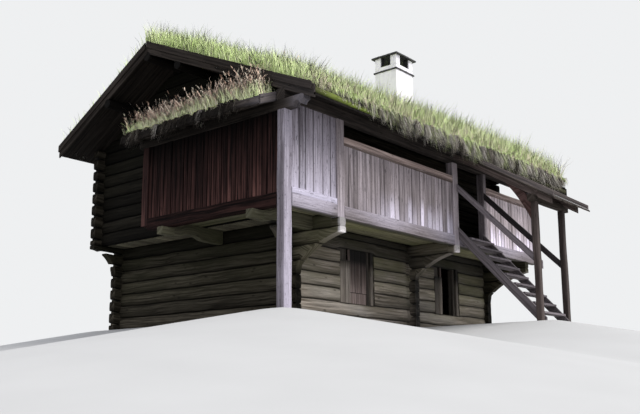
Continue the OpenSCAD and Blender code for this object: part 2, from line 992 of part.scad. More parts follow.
module chimney() {
    top = shaft_h + slate_t;
    pier = 210;
    rim = 120;
    color([0.88, 0.87, 0.88])
        placed() {
            block(chx, chx + chimney_w, chy, chy + chimney_d, 0, shaft_h);
            difference() {
                block(chx, chx + chimney_w, chy, chy + chimney_d, top, top + head_h);
                block(chx + pier, chx + chimney_w - pier, chy - eps, chy + chimney_d + eps,
                    top + rim, top + head_h + eps);
                block(chx - eps, chx + chimney_w + eps, chy + pier, chy + chimney_d - pier,
                    top + rim, top + head_h + eps);
            }
        }
}

module slate(z, over) {
    block(chx - over, chx + chimney_w + over, chy - over, chy + chimney_d + over, z, z + slate_t);
}

module chimney_slates() {
    color([0.2, 0.2, 0.22])
        placed() {
            slate(shaft_h, 25);
            slate(shaft_h + slate_t + head_h, 80);
        }
}

ground_left_gable();
ground_cross_wall();
ground_right_gable();
ground_back_wall();
ground_front_wall();
doorway_logs();
door_jambs();
left_door();
right_door();
ground_floor();
floor_sleepers();
upper_gables();
upper_back_wall();
upper_front_wall();
upper_doors();
upper_floor();
gallery_floor();
gallery_joists();
corner_post();
gallery_posts();
sill_beams();
gallery_boards();
parapets();
parapet_rails();
front_plate();
side_plate();
purlins();
deck_front();
deck_back();
turf_front();
turf_back();
turf_logs();
barge_boards();
side_roof_deck();
side_roof_turf();
porch_posts();
porch_beam();
porch_rafters();
porch_roof();
knee_brace();
stair_stringers();
stair_treads();
handrails();
chimney();
chimney_slates();
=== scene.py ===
"""Raised log granary with a turf roof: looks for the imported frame."""
import math
import random

import bpy
import numpy as np
from mathutils import Matrix, Vector


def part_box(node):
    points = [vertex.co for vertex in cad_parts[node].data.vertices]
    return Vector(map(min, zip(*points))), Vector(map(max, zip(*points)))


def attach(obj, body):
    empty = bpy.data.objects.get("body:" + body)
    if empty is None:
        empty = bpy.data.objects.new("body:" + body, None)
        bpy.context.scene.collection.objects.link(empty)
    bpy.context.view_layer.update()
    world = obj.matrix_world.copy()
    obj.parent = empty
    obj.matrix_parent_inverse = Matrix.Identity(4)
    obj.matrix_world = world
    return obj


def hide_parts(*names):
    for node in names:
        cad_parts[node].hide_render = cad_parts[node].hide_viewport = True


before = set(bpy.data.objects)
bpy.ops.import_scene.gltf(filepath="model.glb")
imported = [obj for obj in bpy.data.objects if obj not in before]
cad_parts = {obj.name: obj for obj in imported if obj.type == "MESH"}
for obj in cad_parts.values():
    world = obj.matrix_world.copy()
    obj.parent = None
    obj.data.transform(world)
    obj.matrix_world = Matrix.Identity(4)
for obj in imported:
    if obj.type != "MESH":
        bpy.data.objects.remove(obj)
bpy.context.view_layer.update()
scene = bpy.context.scene

# Building frame: x from the left gallery's face, y from the front gallery's face, metres
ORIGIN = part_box("corner_post")[0]


def box(node):
    lo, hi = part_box(node)
    return lo - ORIGIN, hi - ORIGIN


# Walls: centre lines, half thickness of a log and the faces that other parts meet
GABLE, FRONT, BACK = box("ground_left_gable"), box("ground_front_wall"), box("ground_back_wall")
UPPER = box("upper_gables")
GX1, CX, GX2 = ((b[0].x + b[1].x) / 2 for b in (GABLE, box("ground_cross_wall"), box("ground_right_gable")))
HT = (GABLE[1].x - GABLE[0].x) / 2
BY, FY = (BACK[0].y + BACK[1].y) / 2, FRONT[1].y - HT
UX1, UX2 = UPPER[0].x + HT, UPPER[1].x - HT
FRONT_OUT, FRONT_IN, BACK_IN, BACK_OUT = FY - HT, FY + HT, BY - HT, BY + HT
UP_L, UP_L_IN, UP_R_IN, UP_R = UX1 - HT, UX1 + HT, UX2 - HT, UX2 + HT
LOG_H = 0.3
LOG_END = UP_L - BACK[0].x
LONG0, LONG1 = UP_L - LOG_END, UP_R + LOG_END
JETTY = GX1 - UX1
STOREY = BACK[1].z
FLOOR_TOP = box("upper_floor")[1].z
TOE_Y = FRONT_OUT - 0.11
# Gallery
POST_W, POST_D = 0.24, 0.2
SILL, PLATE, SIDE_PLATE, RAIL = map(box, ("sill_beams", "front_plate", "side_plate", "parapet_rails"))
SIDE_L = box("gallery_posts")[1].y
POSTS = [(GX1 - 0.12, GX1 + 0.12), (CX - 0.07, CX + 0.17), (CX + 1.47, CX + 1.62), (UX2 - 0.12, UX2 + 0.12)]
BOARD_IN, BOARD_T = 0.03, 0.032
# Roof
DECK_T, TURF_T, TURF_LOG = 0.05, 0.21, 0.12
DF, DB = box("deck_front"), box("deck_back")
EAVE_F, RIDGE_Y, EAVE_B, VERGE_R = DF[0].y, DF[1].y, DB[1].y, DF[1].x
RIDGE_Z = DF[1].z - DECK_T
FRONT_PITCH = (DF[1].z - DECK_T - DF[0].z) / (RIDGE_Y - EAVE_F)
BACK_PITCH = (RIDGE_Z - DB[0].z) / (EAVE_B - RIDGE_Y)
SIDE = box("side_roof_deck")
SIDE_PITCH, SIDE_DECK_T, SIDE_EDGE_T = 0.4, 0.04, 0.04
SIDE_Y0, SIDE_Y1, SIDE_X0, SIDE_X1 = SIDE[0].y + SIDE_EDGE_T, SIDE[1].y, SIDE[0].x, SIDE[1].x
CH0, CH1 = box("chimney")
# Porch and stair
PORCH, PORCH_BEAM = box("porch_posts"), box("porch_beam")
PORCH_PITCH, PORCH_Z = 0.6, PLATE[0].z + 0.23 + 0.028
PORCH_HALF = (PORCH[1].y - PORCH[0].y) / 2
STAIR_L, STAIR_R = PORCH[0].x + PORCH_HALF, PORCH[1].x - PORCH_HALF
# Doorways: left edge and width of each, and the planks beside them
DOORS = [(GX1 + 1.915, 0.7), (CX + 1.34, 0.64)]
DOOR_Z, DOOR_TOP = (corner.z for corner in box("door_jambs"))
JAMB_L, JAMB_R, JAMB_H = 0.35, 0.26, 0.98
UPPER_SILL, UPPER_LINTEL = FLOOR_TOP + 0.15, FLOOR_TOP + 1.65


# Undersides of the boards of the four roofs

def front_z(y):
    return RIDGE_Z - FRONT_PITCH * (RIDGE_Y - y)


def back_z(y):
    return RIDGE_Z - BACK_PITCH * (y - RIDGE_Y)


def porch_z(y):
    return PORCH_Z + PORCH_PITCH * y


def side_z(x):
    return PLATE[0].z + SIDE_PITCH * x


def raised(line, by):
    """The same line, higher or lower."""
    return lambda s: line(s) + by


# SHAPES

def points(x, y=0.0, z=0.0):
    """Three numbers for each point: its place, or its marks, which are shade (the surface's own tone with
    painted light and shade), bleach and green.
    """
    return np.stack(np.broadcast_arrays(x, y, z), -1)


marks = points


def rising(value, start, length):
    """0 up to the start, 1 after the length."""
    return np.clip((value - start) / length, 0, 1)


def wave(key, s):
    """A smooth wavering line, the same for the same key."""
    rng = random.Random(str(key))
    parts = [(rng.uniform(0.6, 1.6) * (k + 1) / 1.3, rng.uniform(0, 6.28), 1 / (k + 1.2)) for k in range(4)]
    return sum(a * np.sin(2 * np.pi * f * s / 2 + p) for f, p, a in parts) / 1.6


def lumps(x, y, key, scale=1.0):
    """Soft bumps over a plane, the same for the same key."""
    rng = random.Random(str(key))
    total = np.zeros(np.broadcast(x, y).shape)
    for k in range(10):
        f = (1.5 + 1.7 * k) * scale
        a, p, q = rng.uniform(0, 6.28), rng.uniform(0, 6.28), rng.uniform(0.5, 1)
        total = total + q * np.sin(f * (x * math.cos(a) + y * math.sin(a)) + p) / (1 + 0.5 * k)
    return total / 3


def tube_faces(n, m):
    """Faces between n closed rings of m points."""
    idx = np.arange(n * m).reshape(n, m)
    nxt = np.roll(idx, -1, axis=1)
    return np.stack([idx[:-1], nxt[:-1], nxt[1:], idx[1:]], -1).reshape(-1, 4)


def sheet_faces(grid):
    """Faces of a grid of points, and the points along its border."""
    n, m = grid.shape
    idx = np.arange(n * m).reshape(n, m)
    faces = np.stack([idx[:-1, :-1], idx[1:, :-1], idx[1:, 1:], idx[:-1, 1:]], -1).reshape(-1, 4)
    return faces, np.concatenate([idx[:, 0], idx[-1, 1:], idx[-2::-1, -1], idx[0, -2:0:-1]])


class Shape:
    """Collects points and faces of one piece, with marks that its material reads."""

    def __init__(self):
        self.v, self.f, self.grain, self.mark, self.tint, self.n = [], [], [], [], [], 0

    def add(self, verts, faces, grain, mark=(1, 0, 0), tint=0.5):
        k = len(verts)
        self.v.append(verts)
        self.f.append(np.asarray(faces) + self.n)
        self.n += k
        self.grain.append(np.broadcast_to(grain, (k, 3)))
        self.mark.append(np.broadcast_to(mark, (k, 3)))
        self.tint.append(np.broadcast_to(tint, k))

    def rings(self, rings, grain, mark, tint):
        """Joins closed rings of points into a skin, with flat ends."""
        n, m = rings.shape[:2]
        mark = np.broadcast_to(mark, (n, m, 3))
        self.add(rings.reshape(-1, 3), tube_faces(n, m), grain.reshape(-1, 3), mark.reshape(-1, 3), tint)
        k, centre = np.arange(m), np.full(m, m)
        for end in (0, n - 1):
            mid = rings[end].mean(0)
            spread = np.vstack([rings[end] - mid, np.zeros(3)])
            end_grain = points(7.3 + tint, spread @ np.array([1, 0.3, 0.2]), spread @ np.array([0.1, 1, 1]))
            shade = np.vstack([mark[end], mark[end].mean(0)]) * np.array([0.8, 1, 1])
            fan = np.stack([k, np.roll(k, -1), centre, centre], -1)
            self.add(np.vstack([rings[end], mid]), fan, end_grain, shade, tint)

    def skirt(self, rim, foot, mark=(1, 0, 0)):
        """Joins two closed lines of points."""
        n = len(rim)
        k = np.arange(n)
        both = np.vstack([rim, foot])
        self.add(both, np.stack([k, k + n, (k + 1) % n + n, (k + 1) % n], -1), both, mark)


SHARP_ANGLE = math.radians(38)


def link(name, data):
    obj = bpy.data.objects.new(name, data)
    scene.collection.objects.link(obj)
    return obj


def finish_piece(shape, name, material, slot, *nodes, body="granary", smooth=True):
    """Makes the object, hangs it on its body and lets it stand for its frame nodes."""
    faces = np.vstack(shape.f)
    keep = np.ones(faces.shape, bool)
    keep[faces[:, 2] == faces[:, 3], 3] = False
    loops, counts = faces[keep], keep.sum(1)
    mesh = bpy.data.meshes.new(name)
    mesh.vertices.add(shape.n)
    mesh.vertices.foreach_set("co", (np.vstack(shape.v) + np.array(ORIGIN)).astype(np.float32).ravel())
    mesh.loops.add(len(loops))
    mesh.loops.foreach_set("vertex_index", loops.astype(np.int32))
    mesh.polygons.add(len(faces))
    mesh.polygons.foreach_set("loop_start", (np.cumsum(counts) - counts).astype(np.int32))
    mesh.update(calc_edges=True)
    for key, kind, field in (("grain", "FLOAT_VECTOR", "vector"), ("mark", "FLOAT_VECTOR", "vector"),
                             ("tint", "FLOAT", "value")):
        layer = mesh.attributes.new(key, kind, "POINT")
        layer.data.foreach_set(field, np.concatenate(getattr(shape, key)).astype(np.float32).ravel())
    mesh.polygons.foreach_set("use_smooth", np.full(len(faces), smooth))
    if smooth:
        mesh.set_sharp_from_angle(angle=SHARP_ANGLE)
    mesh.validate()
    mesh.materials.append(material)
    obj = link(name, mesh)
    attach(obj, body)
    if nodes:
        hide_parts(*nodes)


def stations(a, b, step):
    """Places from a to b that are at most a step apart."""
    return np.linspace(a, b, max(2, int(math.ceil((b - a) / step)) + 1))


def step_line(a, b, step):
    """Places from a to b that are about a step apart."""
    return np.linspace(a, b, int(round((b - a) / step)) + 1)


# Half sections from the lower seam to the upper one: share of the height, share of the half width
LOG = (np.array([0, 0.03, 0.1, 0.28, 0.5, 0.72, 0.9, 0.97, 1]),
       np.array([0.55, 0.8, 0.94, 1.0, 1.02, 1.0, 0.94, 0.8, 0.55]))
# Shade across a log's height: dark joints at both seams, a painted highlight on the upper half and painted
# shade on the lower half, as if lit from above
LOG_JOINTS_AND_TOP_LIGHT = np.array([0.2, 0.32, 0.64, 0.9, 1.06, 1.18, 1.12, 0.56, 0.28])
ROUND = ((1 - np.cos(np.linspace(0, np.pi, 9))) / 2, np.sin(np.linspace(0, np.pi, 9)))
LOW_PART = LOG[0] < 0.3
WORN_EDGE = 0.012


def squared(half):
    """Half section of a squared timber."""
    c = 1 - min(0.4, WORN_EDGE / half)
    return np.array([0, 0, 0.04, 0.96, 1, 1]), np.array([0.0, c, 1, 1, c, 0.0])


def skin(shape, pts, along, mark, rng):
    """Closes a timber; its grain is read along it and around it."""
    step = np.linalg.norm(np.diff(pts, axis=1), axis=-1)
    girth = np.pad(np.cumsum(step, axis=1), ((0, 0), (1, 0)))
    off = rng.uniform(0, 50)
    shape.rings(pts, points(along + off, girth + off * 0.37, off), mark, rng.random())


def mark_at(mark, *where):
    return mark(*where) if callable(mark) else np.array(mark, float)


def run(shape, axis, s, mid, half, lo, hi, section, key, mark, hewn=None, bare=None):
    """A timber between two height lines; hewn widens a log's underside, bare takes off its dark seams and
    its painted top light.
    """
    t, w = section
    lo, hi, mid, half = (np.broadcast_to(v, s.shape)[:, None] for v in (lo, hi, mid, half))
    width = np.tile(w, (len(s), 1))
    if hewn is not None:
        width = np.maximum(width, hewn[:, None] * LOW_PART)
    across = mid + half * np.concatenate([width, width[:, ::-1]], axis=1) * np.repeat([-1.0, 1.0], len(t))
    z = lo + (hi - lo) * np.concatenate([t, t[::-1]])
    if axis == "y":
        across, z = across[:, ::-1], z[:, ::-1]
    pts = points(s[:, None], across, z) if axis == "x" else points(across, s[:, None], z)
    own = mark_at(mark, s[:, None], across, z)
    if section is LOG:
        # The log's dark joints and painted top light, left off the lower part of a hewn underside
        seam = np.where((hewn[:, None] > 0.5) & LOW_PART, 1, np.tile(LOG_JOINTS_AND_TOP_LIGHT, (len(s), 1)))
        if bare is not None:
            seam = seam + (1 - seam) * bare(s)[:, None]
        seam = np.concatenate([seam, seam[:, ::-1]], axis=1)
        own = own * marks(seam, np.minimum(seam, 1), 1)
    skin(shape, pts, s[:, None], own, random.Random(str(key)))


def beam(shape, axis, a, b, c0, c1, z0, z1, key, rough=0.004, mark=(1, 0, 0), step=0.3):
    """A squared timber with worn edges; z0 and z1 may be functions of the length."""
    s = stations(a, b, step)
    half = (c1 - c0) / 2
    low, high = (z(s) if callable(z) else z for z in (z0, z1))
    sway, swell_by, dip, lift = (rough * wave((key, n), s) for n in (1, 2, 3, 4))
    mid = (c0 + c1) / 2 + sway
    run(shape, axis, s, mid, half + swell_by * 0.7, low + dip, high + lift, squared(half), key, mark)


def upright(shape, x0, x1, y0, y1, z0, z1, key, rough=0.003, chamfer=0.008, mark=(1, 0, 0), step=0.35,
            twist=0.0, seam=0.0):
    """A post or an upright board; seam darkens its edges."""
    s = stations(z0, z1, step)
    hx, hy = (x1 - x0) / 2, (y1 - y0) / 2
    wide, thin = max(hx, hy), min(hx, hy)
    c = min(chamfer, hx * 0.3, hy * 0.3)
    inset = max(c, min(0.028, wide * 0.4))
    half = np.array([[-wide + c, -thin], [-wide + inset, -thin], [wide - inset, -thin], [wide - c, -thin],
                     [wide, -thin + c], [wide, thin - c]])
    ring = np.vstack([half, -half])
    edge = np.tile([1, 0, 0, 1, 1, 1], 2)
    if hy > hx:
        ring = points(-ring[:, 1], ring[:, 0])
    wx, wy, grow = (wave((key, n), s)[:, None] for n in (1, 2, 3))
    px = (x0 + x1) / 2 + rough * wx + ring[:, 0] * (1 + rough / hx * 0.5 * grow) + twist * (s[:, None] - z0)
    py = (y0 + y1) / 2 + rough * wy + ring[:, 1] * (1 + rough / hy * 0.5 * grow)
    z = np.broadcast_to(s[:, None], px.shape)
    own = mark_at(mark, px, py, z) * marks(1 - seam * edge, 1 - 0.8 * seam * edge, 1)
    skin(shape, points(px, py, z), z, own, random.Random(str(key)))


def boards(a, b, put, key, widths, gap=0.004):
    """Splits the length from a to b into boards of uneven width."""
    rng = random.Random(str(key))
    cuts = [a]
    while cuts[-1] < b - widths[0]:
        cuts.append(cuts[-1] + rng.uniform(*widths))
    cuts = [a + (c - a) * (b - a) / (cuts[-1] - a) for c in cuts]
    for k, (c0, c1) in enumerate(zip(cuts, cuts[1:])):
        put(c0 + gap * rng.random(), c1 - gap * rng.random(), (key, k), rng)


def planks(shape, axis, s0, s1, a, b, z0, z1, key, widths, ragged=0.0, **more):
    """Boards that lie side by side from a to b; ragged lets their first ends vary."""
    def put(c0, c1, own, rng):
        start = s0 + rng.uniform(0, ragged) if ragged else s0
        beam(shape, axis, start, s1, c0, c1, z0, z1, own, **more)
    boards(a, b, put, key, widths)


def fence(shape, axis, a, b, c0, c1, z0, z1, key, widths=(0.15, 0.23), uneven=None, gap=0.004, **more):
    """Boards that stand side by side from a to b; uneven lets their outer faces vary."""
    def put(p, q, own, rng):
        out = c0 + rng.uniform(*uneven) if uneven else c0
        across = (p, q, out, c1) if axis == "x" else (out, c1, p, q)
        upright(shape, *across, z0, z1, own, **more)
    boards(a, b, put, key, widths, gap)


# How far seams and centre lines waver, the gap left at a seam, what an end is dressed off
SEAM_WAVE, LOG_SWAY, SEAM_GAP, END_TRIM = 0.009, 0.006, 0.002, 0.028


def log_wall(shape, axis, centre, s0, s1, z0, z1, shift, key, corner, mark, low_line=None, fine=(),
             high_line=None, cuts=(), step=0.22, dents=(), bare=None, least=0.035):
    """Logs on one another; seams waver, ends past a corner are dressed smaller."""
    fine = list(fine) + [(u - 0.03, v + 0.03) for u, v, d in dents]
    for k in range(math.floor((z0 - shift) / LOG_H), math.ceil((z1 - shift) / LOG_H)):
        a, b = shift + k * LOG_H, shift + (k + 1) * LOG_H
        if b < z0 + 0.03 or a > z1 - 0.03:
            continue
        spans = [(s0, s1)]
        for c0, c1, h0, h1 in cuts:
            if h0 - 0.02 < (max(a, z0) + min(b, z1)) / 2 < h1 + 0.02:
                halves = [half for p, q in spans for half in ((p, min(q, c0)), (max(p, c1), q))]
                spans = [(p, q) for p, q in halves if q - p > 0.03]
        for n, (p, q) in enumerate(spans):
            extra = [stations(u, v, 0.035) for u, v in fine if v > p and u < q]
            s = np.unique(np.concatenate([stations(p, q, step)] + extra))
            s = s[(s >= p) & (s <= q)]
            lo = np.maximum(a + SEAM_WAVE * wave((key, k), s) * (a > z0), z0)
            hi = np.minimum(b + SEAM_WAVE * wave((key, k + 1), s) * (b < z1), z1)
            hewn = np.zeros(s.shape)
            if low_line:
                hewn = np.where(low_line(s) > lo + SEAM_GAP, 0.97, 0.0)
                lo = np.maximum(lo, low_line(s))
            if high_line:
                hi = np.minimum(hi, high_line(s))
            for c0, c1, h0, h1 in cuts:
                inside = (s > c0) & (s < c1)
                lo = np.where(inside & (lo < h1) & (hi > h1), h1, lo)
                hi = np.where(inside & (lo < h0) & (hi > h0), h0, hi)
            outside = (s < corner[0]) | (s > corner[1])
            nearest = np.minimum(np.abs(s - corner[0]), np.abs(s - corner[1]))
            trim = END_TRIM * (rising(nearest, 0, 0.05) * outside)
            lo = lo + SEAM_GAP + trim * (a > z0) * (hewn < 0.5)
            hi = hi - SEAM_GAP - trim * (b < z1)
            thick = hi - lo > least
            for part in np.split(np.arange(len(s)), np.where(np.diff(thick.astype(int)) != 0)[0] + 1):
                if len(part) < 2 or not thick[part[0]]:
                    continue
                t = s[part]
                dent = sum((d * rising(t, u, 0.05) * (t < v) for u, v, d in dents), np.zeros(len(t)))
                mid = centre + LOG_SWAY * wave((key, k, 6), t) + dent / 2
                half = HT * (0.955 + 0.035 * wave((key, k, 5), t)) - dent / 2
                run(shape, axis, t, mid, half, lo[part], hi[part], LOG, (key, k, n), mark, hewn[part], bare)


def dome(s, centre, radius):
    """Height of a half circle over its centre, 0 beside it."""
    return np.sqrt(np.maximum(radius ** 2 - (s - centre) ** 2, 0))


# MATERIALS

class Graph:
    """Short names for making and joining shader nodes."""

    def __init__(self, owner):
        owner.use_nodes = True
        self.owner, self.tree = owner, owner.node_tree
        self.out = self.tree.nodes.get("Principled BSDF")

    def new(self, kind, **settings):
        node = self.tree.nodes.new(kind)
        for key, value in settings.items():
            setattr(node, key, value)
        return node

    def put(self, node, name, value):
        if isinstance(value, bpy.types.NodeSocket):
            self.tree.links.new(value, node.inputs[name])
        else:
            node.inputs[name].default_value = value

    def made(self, kind, output, inputs, **settings):
        """A new node's output, with its inputs filled in."""
        node = self.new(kind, **settings)
        for name, value in inputs.items():
            self.put(node, name, value)
        return node.outputs[output]

    def attribute(self, name, output="Vector"):
        return self.made("ShaderNodeAttribute", output, {}, attribute_name=name)

    def vector(self, op, inputs):
        return self.made("ShaderNodeVectorMath", 0, inputs, operation=op)

    def scaled(self, vector, factors, offset=(0, 0, 0)):
        return self.vector("MULTIPLY_ADD", {0: vector, 1: factors, 2: offset})

    def noise(self, vector, scale=1.0, detail=4.0, rough=0.6):
        inputs = {"Vector": vector, "Scale": scale, "Detail": detail, "Roughness": rough}
        return self.made("ShaderNodeTexNoise", "Fac", inputs)

    def spots(self, vector, scale):
        return self.made("ShaderNodeTexVoronoi", "Distance", {"Vector": vector, "Scale": scale})

    def ramp(self, value, low, high, to_low=0.0, to_high=1.0):
        inputs = {"Value": value, "From Min": low, "From Max": high, "To Min": to_low, "To Max": to_high}
        return self.made("ShaderNodeMapRange", "Result", inputs, interpolation_type="SMOOTHSTEP")

    def math(self, op, first, *others):
        """All values multiplied or added up."""
        for value in others:
            first = self.made("ShaderNodeMath", 0, {0: first, 1: value}, operation=op)
        return first

    def mix(self, factor, a, b):
        a, b = (v if isinstance(v, bpy.types.NodeSocket) else (*v, 1) for v in (a, b))
        return self.made("ShaderNodeMix", 2, {0: factor, 6: a, 7: b}, data_type="RGBA")

    def marks(self):
        """Shade, bleach and green."""
        node = self.new("ShaderNodeSeparateXYZ")
        self.put(node, 0, self.attribute("mark"))
        return node.outputs

    def surface(self, colour, shade, rough, shine=0.5):
        """Fills in the shader's colour, roughness and shine."""
        if shade is not None:
            colour = self.vector("SCALE", {0: colour, "Scale": shade})
        for name, value in (("Base Color", colour), ("Roughness", rough), ("Specular IOR Level", shine)):
            self.put(self.out, name, value)
        return self.owner

    def bump(self, height, strength, distance):
        inputs = {"Height": height, "Strength": strength, "Distance": distance}
        self.put(self.out, "Normal", self.made("ShaderNodeBump", "Normal", inputs))


def graph_of(name):
    return Graph(bpy.data.materials.new(name))


def wood(name, dark, mid, light, moss=(0.11, 0.12, 0.045), pale=(0.62, 0.6, 0.63), bump=0.5, vary=0.32,
         speck=0.0, shine=0.25):
    """Weathered softwood: fibres, streaks, drying cracks and knots that follow each timber's own length."""
    g = graph_of(name)
    grain, (shade, bleach, green) = g.attribute("grain"), g.marks()
    fibre = g.noise(g.scaled(grain, (3, 150, 150)), 1, 5, 0.65)
    streaks = g.noise(g.scaled(grain, (0.7, 22, 22)), 1, 4, 0.6)
    broad = g.noise(g.scaled(grain, (0.9, 2.2, 2.2)), 1, 3, 0.5)
    cracks = g.noise(g.scaled(grain, (0.55, 34, 34), (9, 4, 2)), 1, 3, 0.45)
    knots = g.spots(g.scaled(grain, (2.2, 6.5, 6.5)), 1)
    base = g.mix(g.ramp(streaks, 0.36, 0.64), dark, light)
    base = g.mix(g.ramp(broad, 0.3, 0.75, 0, 0.75), base, mid)
    base = g.mix(g.ramp(bleach, 0, 1), base, pale)
    base = g.mix(g.math("MULTIPLY", green, g.ramp(broad, 0.25, 0.65, 0.35, 1)), base, moss)
    own_tone = g.ramp(g.attribute("tint", "Fac"), 0, 1, 1 - vary, 1 + vary)
    deep = g.ramp(cracks, 0.315, 0.36, 0.6, 1)
    value = g.math("MULTIPLY", g.ramp(fibre, 0.3, 0.72, 0.65, 1.22), own_tone, shade, deep)
    if speck:
        dots = g.noise(g.scaled(grain, (16, 38, 38), (3, 8, 5)), 1, 2, 0.5)
        value = g.math("MULTIPLY", value, g.ramp(dots, 0.6, 0.7, 1, 1 - speck))
    value = g.math("MULTIPLY", value, g.ramp(knots, 0.06, 0.16, 0.45, 1))
    heights = (g.math("MULTIPLY", v, by) for v, by in ((fibre, 0.35), (deep, 0.6), (streaks, 0.5)))
    g.bump(g.math("ADD", *heights), bump, 0.012)
    return g.surface(base, value, g.ramp(fibre, 0.2, 0.8, 0.96, 0.78), shine)


def turf_material(name, low, high, soil):
    g = graph_of(name)
    grain, mark = g.attribute("grain"), g.marks()
    fine = g.noise(grain, 28, 5, 0.7)
    base = g.mix(g.ramp(g.noise(grain, 1.4, 5, 0.6), 0.35, 0.65), low, high)
    base = g.mix(g.ramp(fine, 0.35, 0.62, 0.7, 0), base, soil)
    base = g.mix(mark[2], base, soil)
    g.bump(fine, 0.9, 0.03)
    return g.surface(base, g.math("MULTIPLY", mark[0], g.ramp(fine, 0.2, 0.8, 0.6, 1.3)), 0.95, 0.15)


def blade_material(name, colours):
    """Grass and straw: the tint picks the colour, the mark is painted light and shade from the root to the
    tip.
    """
    g = graph_of(name)
    ramp = g.new("ShaderNodeValToRGB")
    g.put(ramp, "Fac", g.attribute("tint", "Fac"))
    stops = ramp.color_ramp.elements
    stops.remove(stops[1])
    for k, (at, colour) in enumerate(colours):
        stop = stops[0] if k == 0 else stops.new(at)
        stop.position, stop.color = at, (*colour, 1)
    own = g.new("ShaderNodeNewGeometry").outputs["Normal"]
    skyward = g.scaled(own, (0.2, 0.2, 0.2), (0, -0.25, 0.85))
    g.put(g.out, "Normal", g.vector("NORMALIZE", {0: skyward}))
    return g.surface(ramp.outputs["Color"], g.marks()[0], 0.8, 0.1)


def lime_material():
    g = graph_of("lime_wash_paint")
    grain, mark = g.attribute("grain"), g.marks()
    patches = g.noise(grain, 2.2, 5, 0.6)
    runs = g.noise(g.scaled(grain, (9, 9, 0.8)), 1, 4, 0.6)
    base = g.mix(g.ramp(patches, 0.4, 0.66), (0.98, 0.94, 1.0), (0.88, 0.84, 0.9))
    base = g.mix(g.ramp(runs, 0.56, 0.72, 0, 0.35), base, (0.55, 0.54, 0.56))
    base = g.mix(g.ramp(g.spots(grain, 4.5), 0.05, 0.16, 0.5, 0), base, (0.5, 0.44, 0.42))
    base = g.mix(mark[2], base, (0.55, 0.58, 0.45))
    g.bump(g.math("ADD", g.noise(grain, 34, 5, 0.7), g.math("MULTIPLY", patches, 2)), 0.5, 0.02)
    return g.surface(base, mark[0], 0.9)


def slate_material():
    g = graph_of("slate_stone")
    grain = g.attribute("grain")
    patches = g.noise(grain, 6, 5, 0.6)
    base = g.mix(g.ramp(patches, 0.35, 0.65), (0.014, 0.013, 0.014), (0.04, 0.039, 0.042))
    base = g.mix(g.ramp(patches, 0.55, 0.66, 0, 0.5), base, (0.05, 0.055, 0.03))
    g.bump(g.noise(g.scaled(grain, (20, 20, 90)), 1, 5, 0.7), 0.7, 0.01)
    return g.surface(base, None, 0.7)


OLD_LOGS = wood("old_log_wood", (0.017, 0.0135, 0.009), (0.042, 0.035, 0.025), (0.1, 0.087, 0.064),
                moss=(0.055, 0.06, 0.028), pale=(0.24, 0.23, 0.23), shine=0.06)
FRONT_LOGS = wood("front_log_wood", (0.075, 0.06, 0.046), (0.16, 0.135, 0.11), (0.29, 0.25, 0.21),
                  moss=(0.09, 0.088, 0.036), pale=(0.4, 0.375, 0.37))
PALE = wood("silver_board_wood", (0.17, 0.145, 0.165), (0.3, 0.265, 0.305), (0.45, 0.41, 0.47),
            pale=(0.7, 0.655, 0.8), bump=0.7, vary=0.16, speck=0.45)
GREY = wood("grey_board_wood", (0.12, 0.1, 0.1), (0.215, 0.183, 0.188), (0.33, 0.285, 0.3),
            pale=(0.6, 0.55, 0.65), bump=0.7, vary=0.17, speck=0.35)
DARK = wood("tarred_board_wood", (0.007, 0.004, 0.004), (0.032, 0.015, 0.0135), (0.125, 0.058, 0.05),
            pale=(0.2, 0.13, 0.12), bump=0.7, shine=0.06)
RED = wood("brace_wood", (0.05, 0.025, 0.02), (0.11, 0.055, 0.048), (0.19, 0.11, 0.1),
           pale=(0.3, 0.22, 0.22))
RAIL_WOOD = wood("rail_wood", (0.085, 0.06, 0.052), (0.175, 0.128, 0.112), (0.3, 0.235, 0.21),
                 pale=(0.45, 0.38, 0.4))
ROOF_WOOD = wood("roof_wood", (0.014, 0.0115, 0.0095), (0.034, 0.027, 0.0225), (0.075, 0.061, 0.051),
                 pale=(0.25, 0.24, 0.29), moss=(0.16, 0.21, 0.035), shine=0.08)
FLOOR_WOOD = wood("floor_wood", (0.07, 0.062, 0.04), (0.14, 0.128, 0.085), (0.24, 0.22, 0.15),
                  moss=(0.13, 0.135, 0.055))
TURF = turf_material("turf_sod", (0.4, 0.47, 0.18), (0.58, 0.68, 0.28), (0.07, 0.052, 0.035))
SIDE_TURF = turf_material("side_sod", (0.3, 0.3, 0.16), (0.45, 0.45, 0.25), (0.022, 0.018, 0.013))
GREEN = blade_material("grass_green", [
    (0.0, (0.45, 0.6, 0.17)), (0.3, (0.74, 0.94, 0.36)), (0.55, (0.85, 0.99, 0.48)),
    (0.8, (0.91, 0.95, 0.58)), (1.0, (0.78, 0.67, 0.52))])
STRAW = blade_material("grass_straw", [
    (0.0, (0.03, 0.025, 0.02)), (0.3, (0.13, 0.11, 0.088)), (0.55, (0.45, 0.41, 0.35)),
    (0.8, (0.82, 0.76, 0.7)), (1.0, (0.55, 0.62, 0.3))])
RED_STRAW = blade_material("grass_seed_heads", [
    (0.0, (0.45, 0.28, 0.2)), (0.3, (0.82, 0.57, 0.43)), (0.6, (0.95, 0.76, 0.6)), (0.85, (0.97, 0.88, 0.7)),
    (1.0, (0.6, 0.62, 0.35))])
LIME = lime_material()
SLATE = slate_material()


# WALLS

# Limits that cut nothing off: heights under and over all logs, and a corner out of reach
UNDER_ALL, OVER_ALL, NO_CORNER = -1.0, 99.0, -9.0


def patchy(s, z):
    """Slow patches along a wall, from 0 to 1."""
    return 0.5 + 0.5 * np.sin(1.7 * s + 0.6 * np.sin(3.1 * s) + 4 * z)


def dusk(bottom, top, low, high, pale_to=0.0, green=0.0):
    """A mark with painted shade that deepens towards a wall's top, under the eaves; it greens the top with
    moss and bleaches the foot.
    """
    def mark(s, across, z):
        k = rising(z, bottom, top - bottom)
        patch = patchy(s, z)
        return marks(low + (high - low) * k, pale_to * (1 - k) * patch, green * k * (0.5 + 0.5 * patch))
    return mark


